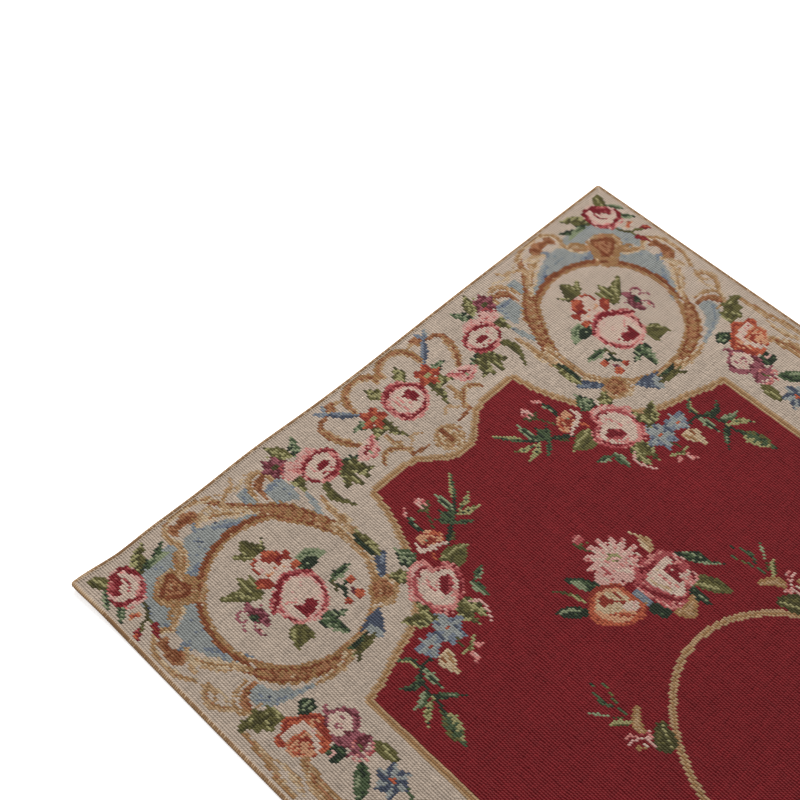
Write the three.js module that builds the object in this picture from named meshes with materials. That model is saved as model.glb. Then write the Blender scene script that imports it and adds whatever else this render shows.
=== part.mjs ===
// Needlepoint floor rug: one stitched canvas cloth that lies flat on the floor, and a rim of
// overcast wool worked along each of its four sides.
// Millimetres, +Z up. The origin is on the floor under the rug's middle, with +X along the
// short sides and +Y along the long sides.

import * as THREE from "three";

// Canvas lattice
const STITCH = 3.1;
const STITCHES_ACROSS = 292;
const STITCHES_ALONG = 488;
const CLOTH_WIDTH = STITCH * STITCHES_ACROSS;
const CLOTH_LENGTH = STITCH * STITCHES_ALONG;

// Thicknesses: the cloth is canvas with wool on it, the rim is wool wrapped round a turned edge
const CLOTH_THICK = 3.2;
const RIM_WIDTH = 5.2;
const RIM_HEIGHT = 4.2;
const GAP = 0.3;

// Half the rim's width and height, used to round its section
const RIM_ROUND = 1.3;

// Stations are closer together near the uneven corner: a power of 1 would be even spacing
const CELLS_ACROSS = 30;
const CELLS_ALONG = 44;
const CROWDING = 1.55;

const CLOTH_COLOUR = 0x84303a;
const RIM_COLOUR = 0x8d6a3a;

// Where the cloth was pulled out of square or stands off the floor. Each row has the spot it
// is centred on, how far it reaches, how far it pushes the cloth along X and Y, and its lift.
const UNEVEN = [
  { x: -CLOTH_WIDTH / 2, y: CLOTH_LENGTH / 2, reach: 66, pushX: 0, pushY: 4.6, lift: 6.0 },
  { x: -CLOTH_WIDTH / 2, y: CLOTH_LENGTH / 2 - 30, reach: 240, pushX: -4.4, pushY: 0, lift: 0 },
  { x: -345, y: CLOTH_LENGTH / 2, reach: 58, pushX: 0, pushY: 2.4, lift: 1.6 },
  { x: -192, y: CLOTH_LENGTH / 2, reach: 74, pushX: 0, pushY: 3.2, lift: 2.0 },
  { x: -30, y: CLOTH_LENGTH / 2, reach: 105, pushX: 0, pushY: -1.2, lift: 0 },
];

// Below this share of its height a rise is left out, so the rest of the cloth is truly flat
const TAIL = 0.02;

/** Share of a rise that is left at a distance from its centre: 1 at the centre, then 0. */
function fade(distance, reach) {
  const bell = Math.exp(-((distance / reach) ** 2));
  return Math.max(0, (bell - TAIL) / (1 - TAIL));
}

/** Turns the square corner of the rim into a round one about the cloth's own corner. */
function roundCorner(x, y) {
  const pastX = Math.abs(x) - CLOTH_WIDTH / 2;
  const pastY = Math.abs(y) - CLOTH_LENGTH / 2;
  if (pastX <= 0 || pastY <= 0) {
    return [x, y];
  }
  const shrink = Math.max(pastX, pastY) / Math.hypot(pastX, pastY);
  return [
    Math.sign(x) * (CLOTH_WIDTH / 2 + pastX * shrink),
    Math.sign(y) * (CLOTH_LENGTH / 2 + pastY * shrink),
  ];
}

/** Puts a point of the flat, square rug where it lies on the real one. */
function lay(x, y, z) {
  const [flatX, flatY] = roundCorner(x, y);
  const point = new THREE.Vector3(flatX, flatY, z);
  for (const spot of UNEVEN) {
    const share = fade(Math.hypot(flatX - spot.x, flatY - spot.y), spot.reach);
    point.x += spot.pushX * share;
    point.y += spot.pushY * share;
    point.z += spot.lift * share;
  }
  return point;
}

/** Stations from -length/2 to length/2, crowded towards the first of the two ends. */
function stations(length, cells) {
  const list = [];
  for (let i = 0; i <= cells; i += 1) {
    list.push(-length / 2 + length * (i / cells) ** CROWDING);
  }
  return list;
}

/** A closed mesh from points and triangles, with its faces turned outward. */
function closedMesh(name, points, triangles, colour) {
  const cross = new THREE.Vector3();
  let volume = 0;
  for (const [a, b, c] of triangles) {
    cross.crossVectors(points[b], points[c]);
    volume += points[a].dot(cross);
  }
  const outward = volume > 0 ? triangles : triangles.map(([a, b, c]) => [a, c, b]);
  const geometry = new THREE.BufferGeometry().setFromPoints(points);
  geometry.setIndex(outward.flat());
  geometry.computeVertexNormals();
  const material = new THREE.MeshStandardMaterial({ color: colour, roughness: 0.95, metalness: 0 });
  const mesh = new THREE.Mesh(geometry, material);
  mesh.name = name;
  return mesh;
}

/** Two triangles for the face with corners a, b, c, d in order. */
function quad(a, b, c, d) {
  return [[a, b, c], [a, c, d]];
}

/** The cloth: a grid of points on top and one below it, joined round the border. */
function cloth() {
  const xs = stations(CLOTH_WIDTH, CELLS_ACROSS);
  const ys = stations(CLOTH_LENGTH, CELLS_ALONG).map((y) => -y);
  const rows = ys.length;
  const below = xs.length * rows;
  const points = [];
  for (const z of [CLOTH_THICK, 0]) {
    for (const x of xs) {
      for (const y of ys) {
        points.push(lay(x, y, z));
      }
    }
  }
  const at = (i, j) => i * rows + j;
  const triangles = [];
  for (let i = 0; i < CELLS_ACROSS; i += 1) {
    for (let j = 0; j < CELLS_ALONG; j += 1) {
      const corners = [at(i, j), at(i, j + 1), at(i + 1, j + 1), at(i + 1, j)];
      triangles.push(...quad(...corners));
      triangles.push(...quad(...corners.map((corner) => corner + below).reverse()));
    }
  }
  const border = [];
  for (let i = 0; i < CELLS_ACROSS; i += 1) border.push(at(i, 0));
  for (let j = 0; j < CELLS_ALONG; j += 1) border.push(at(CELLS_ACROSS, j));
  for (let i = CELLS_ACROSS; i > 0; i -= 1) border.push(at(i, CELLS_ALONG));
  for (let j = CELLS_ALONG; j > 0; j -= 1) border.push(at(0, j));
  border.forEach((from, k) => {
    const to = border[(k + 1) % border.length];
    triangles.push(...quad(from, to, to + below, from + below));
  });
  return closedMesh("needlepoint_cloth", points, triangles, CLOTH_COLOUR);
}

/** The rim's section: distance out from the cloth, and height. */
function rimSection() {
  const inner = GAP;
  const outer = RIM_WIDTH;
  const top = RIM_HEIGHT;
  return [
    [inner, 0],
    [outer - RIM_ROUND, 0],
    [outer, RIM_ROUND],
    [outer, top - RIM_ROUND],
    [outer - RIM_ROUND, top],
    [inner + RIM_ROUND, top],
    [inner, top - RIM_ROUND],
  ];
}

/**
 * One run of the rim. Its stations are the cloth's own, and each end is mitred at the corner.
 * The function turn puts a place along the side and a distance out from it on the plan.
 */
function rimRun(name, along, turn) {
  const section = rimSection();
  const half = Math.abs(along[0]);
  const mitreGap = GAP / Math.SQRT2;
  const points = [];
  for (const end of [1, 0.5]) {
    for (const [out, z] of section) {
      points.push(lay(...turn(-half - (out - mitreGap) * end, out), z));
    }
  }
  for (const place of along) {
    for (const [out, z] of section) {
      points.push(lay(...turn(place, out), z));
    }
  }
  for (const end of [0.5, 1]) {
    for (const [out, z] of section) {
      points.push(lay(...turn(half + (out - mitreGap) * end, out), z));
    }
  }
  const sides = section.length;
  const rings = points.length / sides;
  const triangles = [];
  for (let ring = 0; ring < rings - 1; ring += 1) {
    for (let side = 0; side < sides; side += 1) {
      const next = (side + 1) % sides;
      const here = ring * sides;
      const there = here + sides;
      triangles.push(...quad(here + side, here + next, there + next, there + side));
    }
  }
  const last = points.length - sides;
  for (let side = 1; side < sides - 1; side += 1) {
    triangles.push([0, side + 1, side]);
    triangles.push([last, last + side, last + side + 1]);
  }
  return closedMesh(name, points, triangles, RIM_COLOUR);
}

const rug = new THREE.Group();
rug.add(cloth());

const alongShort = stations(CLOTH_WIDTH, CELLS_ACROSS);
const alongLong = stations(CLOTH_LENGTH, CELLS_ALONG).map((place) => -place).reverse();
const halfWidth = CLOTH_WIDTH / 2;
const halfLength = CLOTH_LENGTH / 2;
rug.add(rimRun("rim_far_short", alongShort, (place, out) => [place, halfLength + out]));
rug.add(rimRun("rim_near_short", alongShort, (place, out) => [place, -halfLength - out]));
rug.add(rimRun("rim_left_long", alongLong, (place, out) => [-halfWidth - out, place]));
rug.add(rimRun("rim_right_long", alongLong, (place, out) => [halfWidth + out, place]));

export default rug;
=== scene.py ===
# Needlepoint floor rug in wool tent stitch: a canvas cloth that lies flat, its stitched
# flowers, scrolls, ground and field, and the overcast rim round its edge.

import math

import bpy
import numpy as np
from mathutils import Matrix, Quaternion, Vector


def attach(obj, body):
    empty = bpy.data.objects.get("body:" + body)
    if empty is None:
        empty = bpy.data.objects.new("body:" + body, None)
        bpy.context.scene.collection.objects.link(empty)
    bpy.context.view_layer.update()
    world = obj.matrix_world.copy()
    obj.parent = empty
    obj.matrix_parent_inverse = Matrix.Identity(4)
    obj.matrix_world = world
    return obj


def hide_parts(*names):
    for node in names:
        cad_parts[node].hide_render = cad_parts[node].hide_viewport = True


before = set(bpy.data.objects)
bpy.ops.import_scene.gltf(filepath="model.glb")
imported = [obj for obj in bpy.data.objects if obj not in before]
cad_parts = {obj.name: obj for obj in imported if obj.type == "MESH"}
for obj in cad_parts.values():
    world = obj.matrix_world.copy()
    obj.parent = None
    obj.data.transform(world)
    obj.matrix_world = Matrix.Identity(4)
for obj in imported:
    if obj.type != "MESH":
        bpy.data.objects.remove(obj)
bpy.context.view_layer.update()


# Camera and studio
# The rug is seen from above one long side, at the photo's height and angle, on a plain pale
# floor. A wide soft light stands behind the far corner, and an even pale sky fills the rest.

CAMERA_PLACE = Vector((-0.8138, -0.0621, 1.5252))
CAMERA_AIM = Vector((-0.0050, 0.6903, 0.003))
CAMERA_ROLL = math.radians(2.56)
CAMERA_LENS = 67.9

camera_data = bpy.data.cameras.new("camera")
camera_data.lens = CAMERA_LENS
camera_data.sensor_width = 36
camera_data.clip_start = 0.05
camera_data.clip_end = 60
camera = bpy.data.objects.new("camera", camera_data)
camera.location = CAMERA_PLACE
camera.rotation_mode = "QUATERNION"
facing = (CAMERA_AIM - CAMERA_PLACE).to_track_quat("-Z", "Y")
camera.rotation_quaternion = facing @ Quaternion((0, 0, 1), CAMERA_ROLL)
bpy.context.collection.objects.link(camera)
bpy.context.scene.camera = camera
bpy.context.scene.view_settings.view_transform = "Standard"

FLOOR_HALF = 12.0
FLOOR_DROP = 0.0004
floor_mesh = bpy.data.meshes.new("floor")
floor_mesh.from_pydata(
    [(x * FLOOR_HALF, y * FLOOR_HALF, -FLOOR_DROP) for x, y in ((-1, -1), (1, -1), (1, 1), (-1, 1))],
    [],
    [(0, 1, 2, 3)],
)
floor = bpy.data.objects.new("floor", floor_mesh)
bpy.context.collection.objects.link(floor)
floor_paint = bpy.data.materials.new("pale_floor")
floor_paint.use_nodes = True
floor_shader = floor_paint.node_tree.nodes["Principled BSDF"]
floor_shader.inputs["Base Color"].default_value = (0.93, 0.93, 0.93, 1)
floor_shader.inputs["Roughness"].default_value = 0.9
floor_shader.inputs["Emission Color"].default_value = (1, 1, 1, 1)
floor_shader.inputs["Emission Strength"].default_value = 0.5
floor.data.materials.append(floor_paint)

SKY_STRENGTH = 0.62
LIGHT_PLACE = Vector((1.6, 2.6, 2.6))
LIGHT_WATTS = 170
LIGHT_SIDE = 1.6
sky = bpy.data.worlds.new("studio")
sky.use_nodes = True
sky.node_tree.nodes["Background"].inputs["Color"].default_value = (1, 1, 1, 1)
sky.node_tree.nodes["Background"].inputs["Strength"].default_value = SKY_STRENGTH
bpy.context.scene.world = sky
light_data = bpy.data.lights.new("soft_light", "AREA")
light_data.energy = LIGHT_WATTS
light_data.size = LIGHT_SIDE
light = bpy.data.objects.new("soft_light", light_data)
light.location = LIGHT_PLACE
light.rotation_mode = "QUATERNION"
light.rotation_quaternion = (-LIGHT_PLACE).to_track_quat("-Z", "Y")
bpy.context.collection.objects.link(light)


# Canvas
# One piece of cotton canvas carries every stitch. It lies flat but for one corner, which was
# pulled out of square and stands a little off the floor. Its underside shows the back of the
# stitches, whose colours are added at the end, when all of them are worked.

STITCH = 0.0031
ACROSS = 292
ALONG = 488
CLOTH_WIDTH = STITCH * ACROSS
CLOTH_LENGTH = STITCH * ALONG
CANVAS_THICK = 0.0014
BACK_CELL = 2
FRONT_CELL = 4
FADE_TAIL = 0.02

# Where the cloth is uneven: the spot, its reach, and its push along X, Y and upwards
UNEVEN = (
    {"x": -CLOTH_WIDTH / 2, "y": CLOTH_LENGTH / 2, "reach": 0.066, "push": (0, 0.0044, 0.006)},
    {"x": -CLOTH_WIDTH / 2, "y": CLOTH_LENGTH / 2, "reach": 0.035, "push": (-0.002, 0, 0)},
    {"x": -0.399, "y": CLOTH_LENGTH / 2, "reach": 0.034, "push": (0, -0.0022, -0.001)},
    {"x": -0.345, "y": CLOTH_LENGTH / 2, "reach": 0.058, "push": (0, 0.0014, 0.0012)},
    {"x": -0.192, "y": CLOTH_LENGTH / 2, "reach": 0.074, "push": (0, 0.0018, 0.0014)},
    {"x": -0.02, "y": CLOTH_LENGTH / 2, "reach": 0.13, "push": (0, -0.0022, 0)},
)


def lay(points):
    """Puts points of the flat, square rug where they lie on the real one."""
    flat = np.asarray(points, float)
    laid = flat.copy()
    for spot in UNEVEN:
        away = np.hypot(flat[:, 0] - spot["x"], flat[:, 1] - spot["y"])
        bell = np.exp(-((away / spot["reach"]) ** 2))
        share = np.maximum(0, (bell - FADE_TAIL) / (1 - FADE_TAIL))
        laid += share[:, None] * spot["push"]
    return laid


def new_piece(name, points, faces, material):
    """A piece from points and faces, in place, with one material."""
    mesh = bpy.data.meshes.new(name)
    mesh.from_pydata([tuple(p) for p in points], [], faces)
    mesh.materials.append(material)
    piece = bpy.data.objects.new(name, mesh)
    bpy.context.collection.objects.link(piece)
    return piece


# The wool's gloss, its soft clouds of dye, its flecked fibres, and the pale highlight painted on its
# crests
WOOL_ROUGHNESS = 0.88
WOOL_SHINE = 0.06
DYE_CLOUDS = (0.88, 1.12)
FIBRE_FLECKS = (0.8, 1.2)
FIBRE_STRENGTH = 0.35
FIBRE_DEPTH = 0.0003
HIGHLIGHT_FROM_CREST = 0.55
HIGHLIGHT_SHARE = 0.055
HIGHLIGHT_COLOUR = (0.5, 0.48, 0.45, 1)


def add_node(tree, kind, inputs=None, **settings):
    """A node with its settings. Each input gets a value, or the output that feeds it."""
    node = tree.nodes.new(kind)
    for name, value in settings.items():
        setattr(node, name, value)
    for name, value in (inputs or {}).items():
        if isinstance(value, bpy.types.NodeSocket):
            tree.links.new(value, node.inputs[name])
        else:
            node.inputs[name].default_value = value
    return node


def wool_material(name, valley_painted_shade, fibre=1700, clouds=9.0):
    """Matte wool: the colour comes from the yarn attribute, with shade painted where a stitch dives in
    and a highlight painted on its crests.
    """
    material = bpy.data.materials.new(name)
    material.use_nodes = True
    tree = material.node_tree
    yarn = add_node(tree, "ShaderNodeAttribute", attribute_name="yarn").outputs["Color"]
    crest = add_node(tree, "ShaderNodeAttribute", attribute_name="crest").outputs["Fac"]
    tone = add_node(tree, "ShaderNodeAttribute", attribute_name="tone").outputs["Fac"]
    place = add_node(tree, "ShaderNodeTexCoord").outputs["Object"]
    fluff = add_node(tree, "ShaderNodeTexNoise", {"Vector": place, "Scale": fibre, "Detail": 3})
    fluff = fluff.outputs["Fac"]
    dye = add_node(tree, "ShaderNodeTexNoise", {"Vector": place, "Scale": clouds, "Detail": 4})
    dye = dye.outputs["Fac"]
    # painted shade: each stitch darkens from its crest down to its edges, where it dives between its
    # neighbours
    valley_shade = add_node(tree, "ShaderNodeMapRange", {"Value": crest, "To Min": valley_painted_shade})
    shade = add_node(tree, "ShaderNodeMapRange", {
        "Value": dye,
        "To Min": DYE_CLOUDS[0],
        "To Max": DYE_CLOUDS[1],
    })
    flecks = add_node(tree, "ShaderNodeMapRange", {
        "Value": fluff,
        "To Min": FIBRE_FLECKS[0],
        "To Max": FIBRE_FLECKS[1],
    })
    factor = valley_shade.outputs["Result"]
    for other in (shade.outputs["Result"], flecks.outputs["Result"], tone):
        times = add_node(tree, "ShaderNodeMath", {0: factor, 1: other}, operation="MULTIPLY")
        factor = times.outputs["Value"]
    colour = add_node(tree, "ShaderNodeVectorMath", {0: yarn, "Scale": factor}, operation="SCALE")
    # painted highlight: the crests are blended towards a pale grey
    crest_highlight = add_node(tree, "ShaderNodeMapRange", {
        "Value": crest,
        "From Min": HIGHLIGHT_FROM_CREST,
        "To Max": HIGHLIGHT_SHARE,
    })
    blend = add_node(tree, "ShaderNodeMix", {
        "Factor": crest_highlight.outputs["Result"],
        "A": colour.outputs["Vector"],
        "B": HIGHLIGHT_COLOUR,
    }, data_type="RGBA")
    bump = add_node(tree, "ShaderNodeBump", {
        "Strength": FIBRE_STRENGTH,
        "Distance": FIBRE_DEPTH,
        "Height": fluff,
    })
    shader = tree.nodes["Principled BSDF"]
    shader.inputs["Roughness"].default_value = WOOL_ROUGHNESS
    shader.inputs["Specular IOR Level"].default_value = WOOL_SHINE
    tree.links.new(blend.outputs["Result"], shader.inputs["Base Color"])
    tree.links.new(bump.outputs["Normal"], shader.inputs["Normal"])
    return material


def cloth_grid(cell):
    """Points of the cloth's plan, one row of them after another from the far edge."""
    xs = np.arange(0, ACROSS + 1, cell) * STITCH - CLOTH_WIDTH / 2
    ys = CLOTH_LENGTH / 2 - np.arange(0, ALONG + 1, cell) * STITCH
    return np.stack(np.meshgrid(xs, ys), -1).reshape(-1, 2)


def grid_faces(start, rows, cols):
    """The faces of such a grid that look down."""
    near = start + np.arange(rows)[:, None] * (cols + 1) + np.arange(cols)
    return np.stack([near, near + 1, near + cols + 2, near + cols + 1], -1).reshape(-1, 4)


back_rows, back_cols = ALONG // BACK_CELL, ACROSS // BACK_CELL
front_rows, front_cols = ALONG // FRONT_CELL, ACROSS // FRONT_CELL
back_points = cloth_grid(BACK_CELL)
front_points = cloth_grid(FRONT_CELL)
front_start = len(back_points)
back_faces = grid_faces(0, back_rows, back_cols)
front_faces = grid_faces(front_start, front_rows, front_cols)[:, ::-1]
split = FRONT_CELL // BACK_CELL
edge_faces = []
for col in range(front_cols):
    for row, turn in ((0, -1), (front_rows, 1)):
        low = [row * split * (back_cols + 1) + col * split + k for k in range(split + 1)]
        high = [front_start + row * (front_cols + 1) + col + k for k in (1, 0)]
        edge_faces.append((low + high)[::turn])
for row in range(front_rows):
    for col, turn in ((0, 1), (front_cols, -1)):
        low = [(row * split + k) * (back_cols + 1) + col * split for k in range(split + 1)]
        high = [front_start + (row + k) * (front_cols + 1) + col for k in (1, 0)]
        edge_faces.append((low + high)[::turn])
canvas_points = np.vstack([
    np.c_[back_points, np.zeros(len(back_points))],
    np.c_[front_points, np.full(len(front_points), CANVAS_THICK)],
])
canvas_faces = back_faces.tolist() + front_faces.tolist() + edge_faces
canvas_wool = wool_material("canvas_back", valley_painted_shade=1.0, fibre=1100)
canvas = new_piece("canvas", lay(canvas_points), canvas_faces, canvas_wool)


# Chart of the stitches
# A needleworker counts the design from a chart with one square for each stitch. Here the
# chart is drawn by rule, a quarter at a time, since the rug repeats about its middle lines.
# Places are in stitches: the first from the right long edge, the second from the far edge.

RIM_STITCHES = 1.5
HALF_ACROSS = ACROSS // 2
HALF_ALONG = ALONG // 2
MIDDLE = (HALF_ACROSS, HALF_ALONG + RIM_STITCHES)
BLANK = -1

# The wools, as screen colours
YARNS = {
    "wine": (118, 27, 33),
    "ground": (181, 164, 148),
    "gold": (148, 111, 73),
    "tan": (168, 137, 103),
    "cream": (185, 162, 132),
    "brown": (124, 74, 46),
    "rust": (118, 62, 38),
    "chestnut": (152, 105, 73),
    "sky": (140, 143, 140),
    "blue": (112, 119, 130),
    "indigo": (70, 76, 91),
    "moss": (70, 66, 38),
    "olive": (94, 89, 51),
    "sage": (148, 142, 98),
    "pine": (40, 49, 37),
    "green": (70, 84, 58),
    "mint": (128, 136, 106),
    "claret": (108, 26, 34),
    "crimson": (118, 31, 38),
    "rose": (158, 73, 75),
    "pink": (191, 124, 117),
    "blush": (196, 154, 144),
    "ivory": (194, 171, 155),
    "orange": (170, 86, 60),
    "brick": (134, 52, 40),
    "peach": (190, 140, 108),
    "plum": (96, 43, 50),
    "mauve": (140, 80, 88),
}
NUMBER = {name: number for number, name in enumerate(YARNS)}
chart = np.full((ALONG, ACROSS), BLANK)

# How veins slant and fill a leaf, how petals widen and fray, how far spots reach and how they
# are notched, and how much a second shade keeps to slanting runs
VEIN_SLANT = 0.8
VEIN_SHARE = 0.48
PETAL_WIDEN = 1.14
PETAL_TEETH = 0.5
PETAL_TOOTH = 2.1
SPOT_REACH = 1.4
NOTCH_LONG = 1.6
NOTCH_DEEP = 0.16
SHADE_SLANT = 0.8


def blank_quarter():
    """An empty quarter of the chart, from the corner to the rug's middle."""
    return np.full((HALF_ALONG, HALF_ACROSS), BLANK)


def work(layer):
    """Puts a drawn layer on the chart where nothing is yet, and says which stitches it took.
    A quarter goes into all four quarters, turned about the middle lines."""
    if layer.shape == chart.shape:
        whole = layer
    else:
        half = np.hstack([layer, layer[:, ::-1]])
        whole = np.vstack([half, half[::-1]])
    fresh = (chart == BLANK) & (whole != BLANK)
    chart[fresh] = whole[fresh]
    return fresh


def window(layer, low, high):
    """The stitches of a layer between two places, and the middle of each one."""
    rows, cols = layer.shape
    left, right = np.clip((int(low[0]) - 1, int(high[0]) + 2), 0, cols)
    near, far = np.clip((int(low[1] - RIM_STITCHES) - 1, int(high[1]) + 1), 0, rows)
    y, x = np.mgrid[near:far, left:right]
    return layer[near:far, left:right], x + 0.5, y + 0.5 + RIM_STITCHES


def smooth(points):
    """A smooth curve through a few points, as many close ones."""
    given = np.array(points, float)
    ends = np.vstack([2 * given[0] - given[1], given, 2 * given[-1] - given[-2]])
    parts = []
    for a, b, c, d in zip(ends, ends[1:], ends[2:], ends[3:]):
        steps = 10 + int(2 * np.hypot(*(c - b)))
        t = np.linspace(0, 1, steps, endpoint=False)[:, None]
        cubic = 3 * (b - c) + d - a
        parts.append(b + t / 2 * (c - a + t * (2 * a - 5 * b + 4 * c - d + t * cubic)))
    return np.vstack(parts + [given[-1:]])


def enclosed(x, y, outline):
    """Which of some places lie inside a closed outline."""
    inside = np.zeros(x.shape, bool)
    for (x0, y0), (x1, y1) in zip(outline, np.roll(outline, -1, 0)):
        if y0 != y1:
            crosses = (y0 > y) != (y1 > y)
            inside ^= crosses & (x < (x1 - x0) * (y - y0) / (y1 - y0) + x0)
    return inside


def patch(layer, points, yarn):
    """Fills a smooth closed outline with one wool."""
    line = smooth(list(points) + [points[0]])
    part, x, y = window(layer, line.min(0), line.max(0))
    part[enclosed(x, y, line)] = NUMBER[yarn]


def stroke(layer, points, widths, bands, teeth=0.0, tooth=3.0, vein=None, reach=0.8):
    """Stitches a band along a curve. Its half widths follow from start to end, and the bands
    name the yarns across it, each with the place from -1 to 1 at which it ends. A vein is a
    yarn of slanting lines on its middle part."""
    line = smooth(points)
    part, x, y = window(layer, line.min(0) - max(widths), line.max(0) + max(widths))
    if not part.size:
        return
    off_x = x[..., None] - line[:, 0]
    off_y = y[..., None] - line[:, 1]
    nearest = (off_x**2 + off_y**2).argmin(-1)
    dx = np.take_along_axis(off_x, nearest[..., None], -1)[..., 0]
    dy = np.take_along_axis(off_y, nearest[..., None], -1)[..., 0]
    way = np.gradient(line, axis=0)[nearest]
    side = np.sign(way[..., 0] * dy - way[..., 1] * dx)
    length = np.r_[0, np.cumsum(np.hypot(*np.diff(line, axis=0).T))][nearest]
    share = nearest / (len(line) - 1)
    half = np.interp(share, np.linspace(0, 1, len(widths)), widths)
    half = half * (1 - teeth * ((length / tooth) % 1))
    distance = np.hypot(dx, dy)
    across = side * distance / np.maximum(half, 0.01)
    for stop, yarn in sorted(bands, reverse=True):
        part[(distance <= half) & (across <= stop)] = NUMBER[yarn]
    if vein:
        slant = (length + VEIN_SLANT * distance) % tooth < VEIN_SHARE * tooth
        part[(distance <= reach * half) & slant] = NUMBER[vein]


def dot(layer, x, y, size, yarn):
    """A round spot of one wool with a lightly notched edge."""
    reach = SPOT_REACH * size
    part, across, down = window(layer, (x - reach, y - reach), (x + reach, y + reach))
    dx, dy = (across - x) / size, (down - y) / size
    notch = np.floor(np.arctan2(dy, dx) * size / NOTCH_LONG)
    ragged = np.sin(12.9898 * notch + 5.0)
    part[dx * dx + dy * dy <= 1 + NOTCH_DEEP * ragged] = NUMBER[yarn]


def fleck(fresh, shades, seed):
    """Works short slanting runs of a second shade among the new stitches of a wool."""
    luck = np.random.default_rng(seed)
    for yarn, second, share in shades:
        noise = luck.random(chart.shape)
        noise = noise + SHADE_SLANT * np.roll(noise, (1, 1), (0, 1))
        chosen = fresh & (chart == NUMBER[yarn]) & (noise > np.quantile(noise, 1 - share))
        chart[chosen] = NUMBER[second]


def petals(layer, rows, yarns):
    """Petals drawn one by one. Each row has half the width of a ragged band, or 0 for a filled
    outline, the part of the flower whose yarn it takes, and its points."""
    for width, what, points in rows:
        if width:
            width = PETAL_WIDEN * width
            widths = (0.5 * width, width, width, 0.5 * width)
            stroke(layer, points, widths, [(1, yarns[what])], PETAL_TEETH, PETAL_TOOTH)
        else:
            patch(layer, points, yarns[what])


LEAF_OUTLINE = (0.3, 0.85, 1.0, 0.85, 0.5, 0.2)
LEAF_TOOTH = 3.2
VEINED_FROM = 2.3


def leaf(layer, base, tip, width, yarns, bend=0.0, teeth=0.35):
    """A leaf with a half of one wool, a vein and a half of another."""
    base, tip = np.array(base, float), np.array(tip, float)
    way = tip - base
    middle = (base + tip) / 2 + bend * np.array([-way[1], way[0]])
    widths = [width * share for share in LEAF_OUTLINE]
    first, vein, second = yarns
    bands = [(-0.14, first), (0.2, vein), (1, second)]
    slants = vein if width > VEINED_FROM else None
    stroke(layer, [base, middle, tip], widths, bands, teeth, LEAF_TOOTH, slants)


SPRIG_START = 0.15


def sprig(layer, points, leaf_long, leaf_wide, count, stem, yarns):
    """A stem with slender leaves by turns on its two sides, and one at its tip."""
    stroke(layer, points, [0.62, 0.5], [(1, stem)])
    line = smooth(points)
    for k in range(count):
        i = int((SPRIG_START + (1 - SPRIG_START) * k / (count - 1)) * (len(line) - 2))
        way = line[i + 1] - line[i]
        way = way / np.hypot(*way)
        side = 1 if k % 2 else -1
        out = way if k == count - 1 else 0.72 * way + 0.7 * side * np.array([-way[1], way[0]])
        leaf(layer, line[i], line[i] + out * leaf_long, leaf_wide, yarns, bend=0.1 * side, teeth=0)


def daisy(layer, x, y, size, count, light, dark, eye, turn=0.0, slim=0.3, eye_size=0.24):
    """A flower of separate petals round an eye, each petal light on one side."""
    for k in range(count):
        angle = turn + 2 * math.pi * k / count
        middle = (x + 0.6 * size * math.cos(angle - 0.1), y + 0.6 * size * math.sin(angle - 0.1))
        tip = (x + size * math.cos(angle), y + size * math.sin(angle))
        widths = [0.1 * size, slim * size, slim * size, 0.1 * size]
        stroke(layer, [(x, y), middle, tip], widths, [(-0.1, dark), (1, light)])
    dot(layer, x, y, eye_size * size, eye)


# Flowers and leaves
# The flowers are worked first, in shaded wools from claret to ivory: full roses, rosebuds,
# starry blue and mauve flowers, and leaves in olive and pine greens on thin stems. Each tent
# stitch is one short slanting loop of wool over a crossing of the canvas.

STITCH_LEAN = 0.2
STITCH_SPREAD = 1.14
CREST_HEIGHT = 0.0017
STITCH_UNEVENNESS = 0.15
TONE_SPREAD = 0.09
CELL_MARGIN = 0.08
# The corners of one stitch and the two ends of its crest, and its faces
TILE_SPAN = 1.1
TILE = (
    (-0.55, 0.54, 0), (-0.53, -0.52, 0), (0.55, -0.54, 0), (0.53, 0.52, 0), (-0.08, 0.4, 1),
    (0.08, -0.4, 1),
)
TILE_FACES = ((0, 1, 5, 4), (1, 2, 5), (2, 3, 4, 5), (3, 0, 4))


def set_values(mesh, name, values, domain="POINT"):
    """Stores a number or a colour for each point or corner of a mesh."""
    values = np.asarray(values, np.float32)
    kind, key = ("FLOAT", "value") if values.ndim == 1 else ("FLOAT_COLOR", "color")
    mesh.attributes.new(name, kind, domain).data.foreach_set(key, values.ravel())


def stitch_shape(name, points, faces, crests):
    """One stitch of wool, smooth, with how high each of its points stands."""
    mesh = bpy.data.meshes.new(name)
    mesh.from_pydata(points, [], faces)
    mesh.shade_smooth()
    # the crest heights also place the wool's painted shade and painted highlight
    set_values(mesh, "crest", crests)
    return bpy.data.objects.new(name, mesh)


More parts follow.
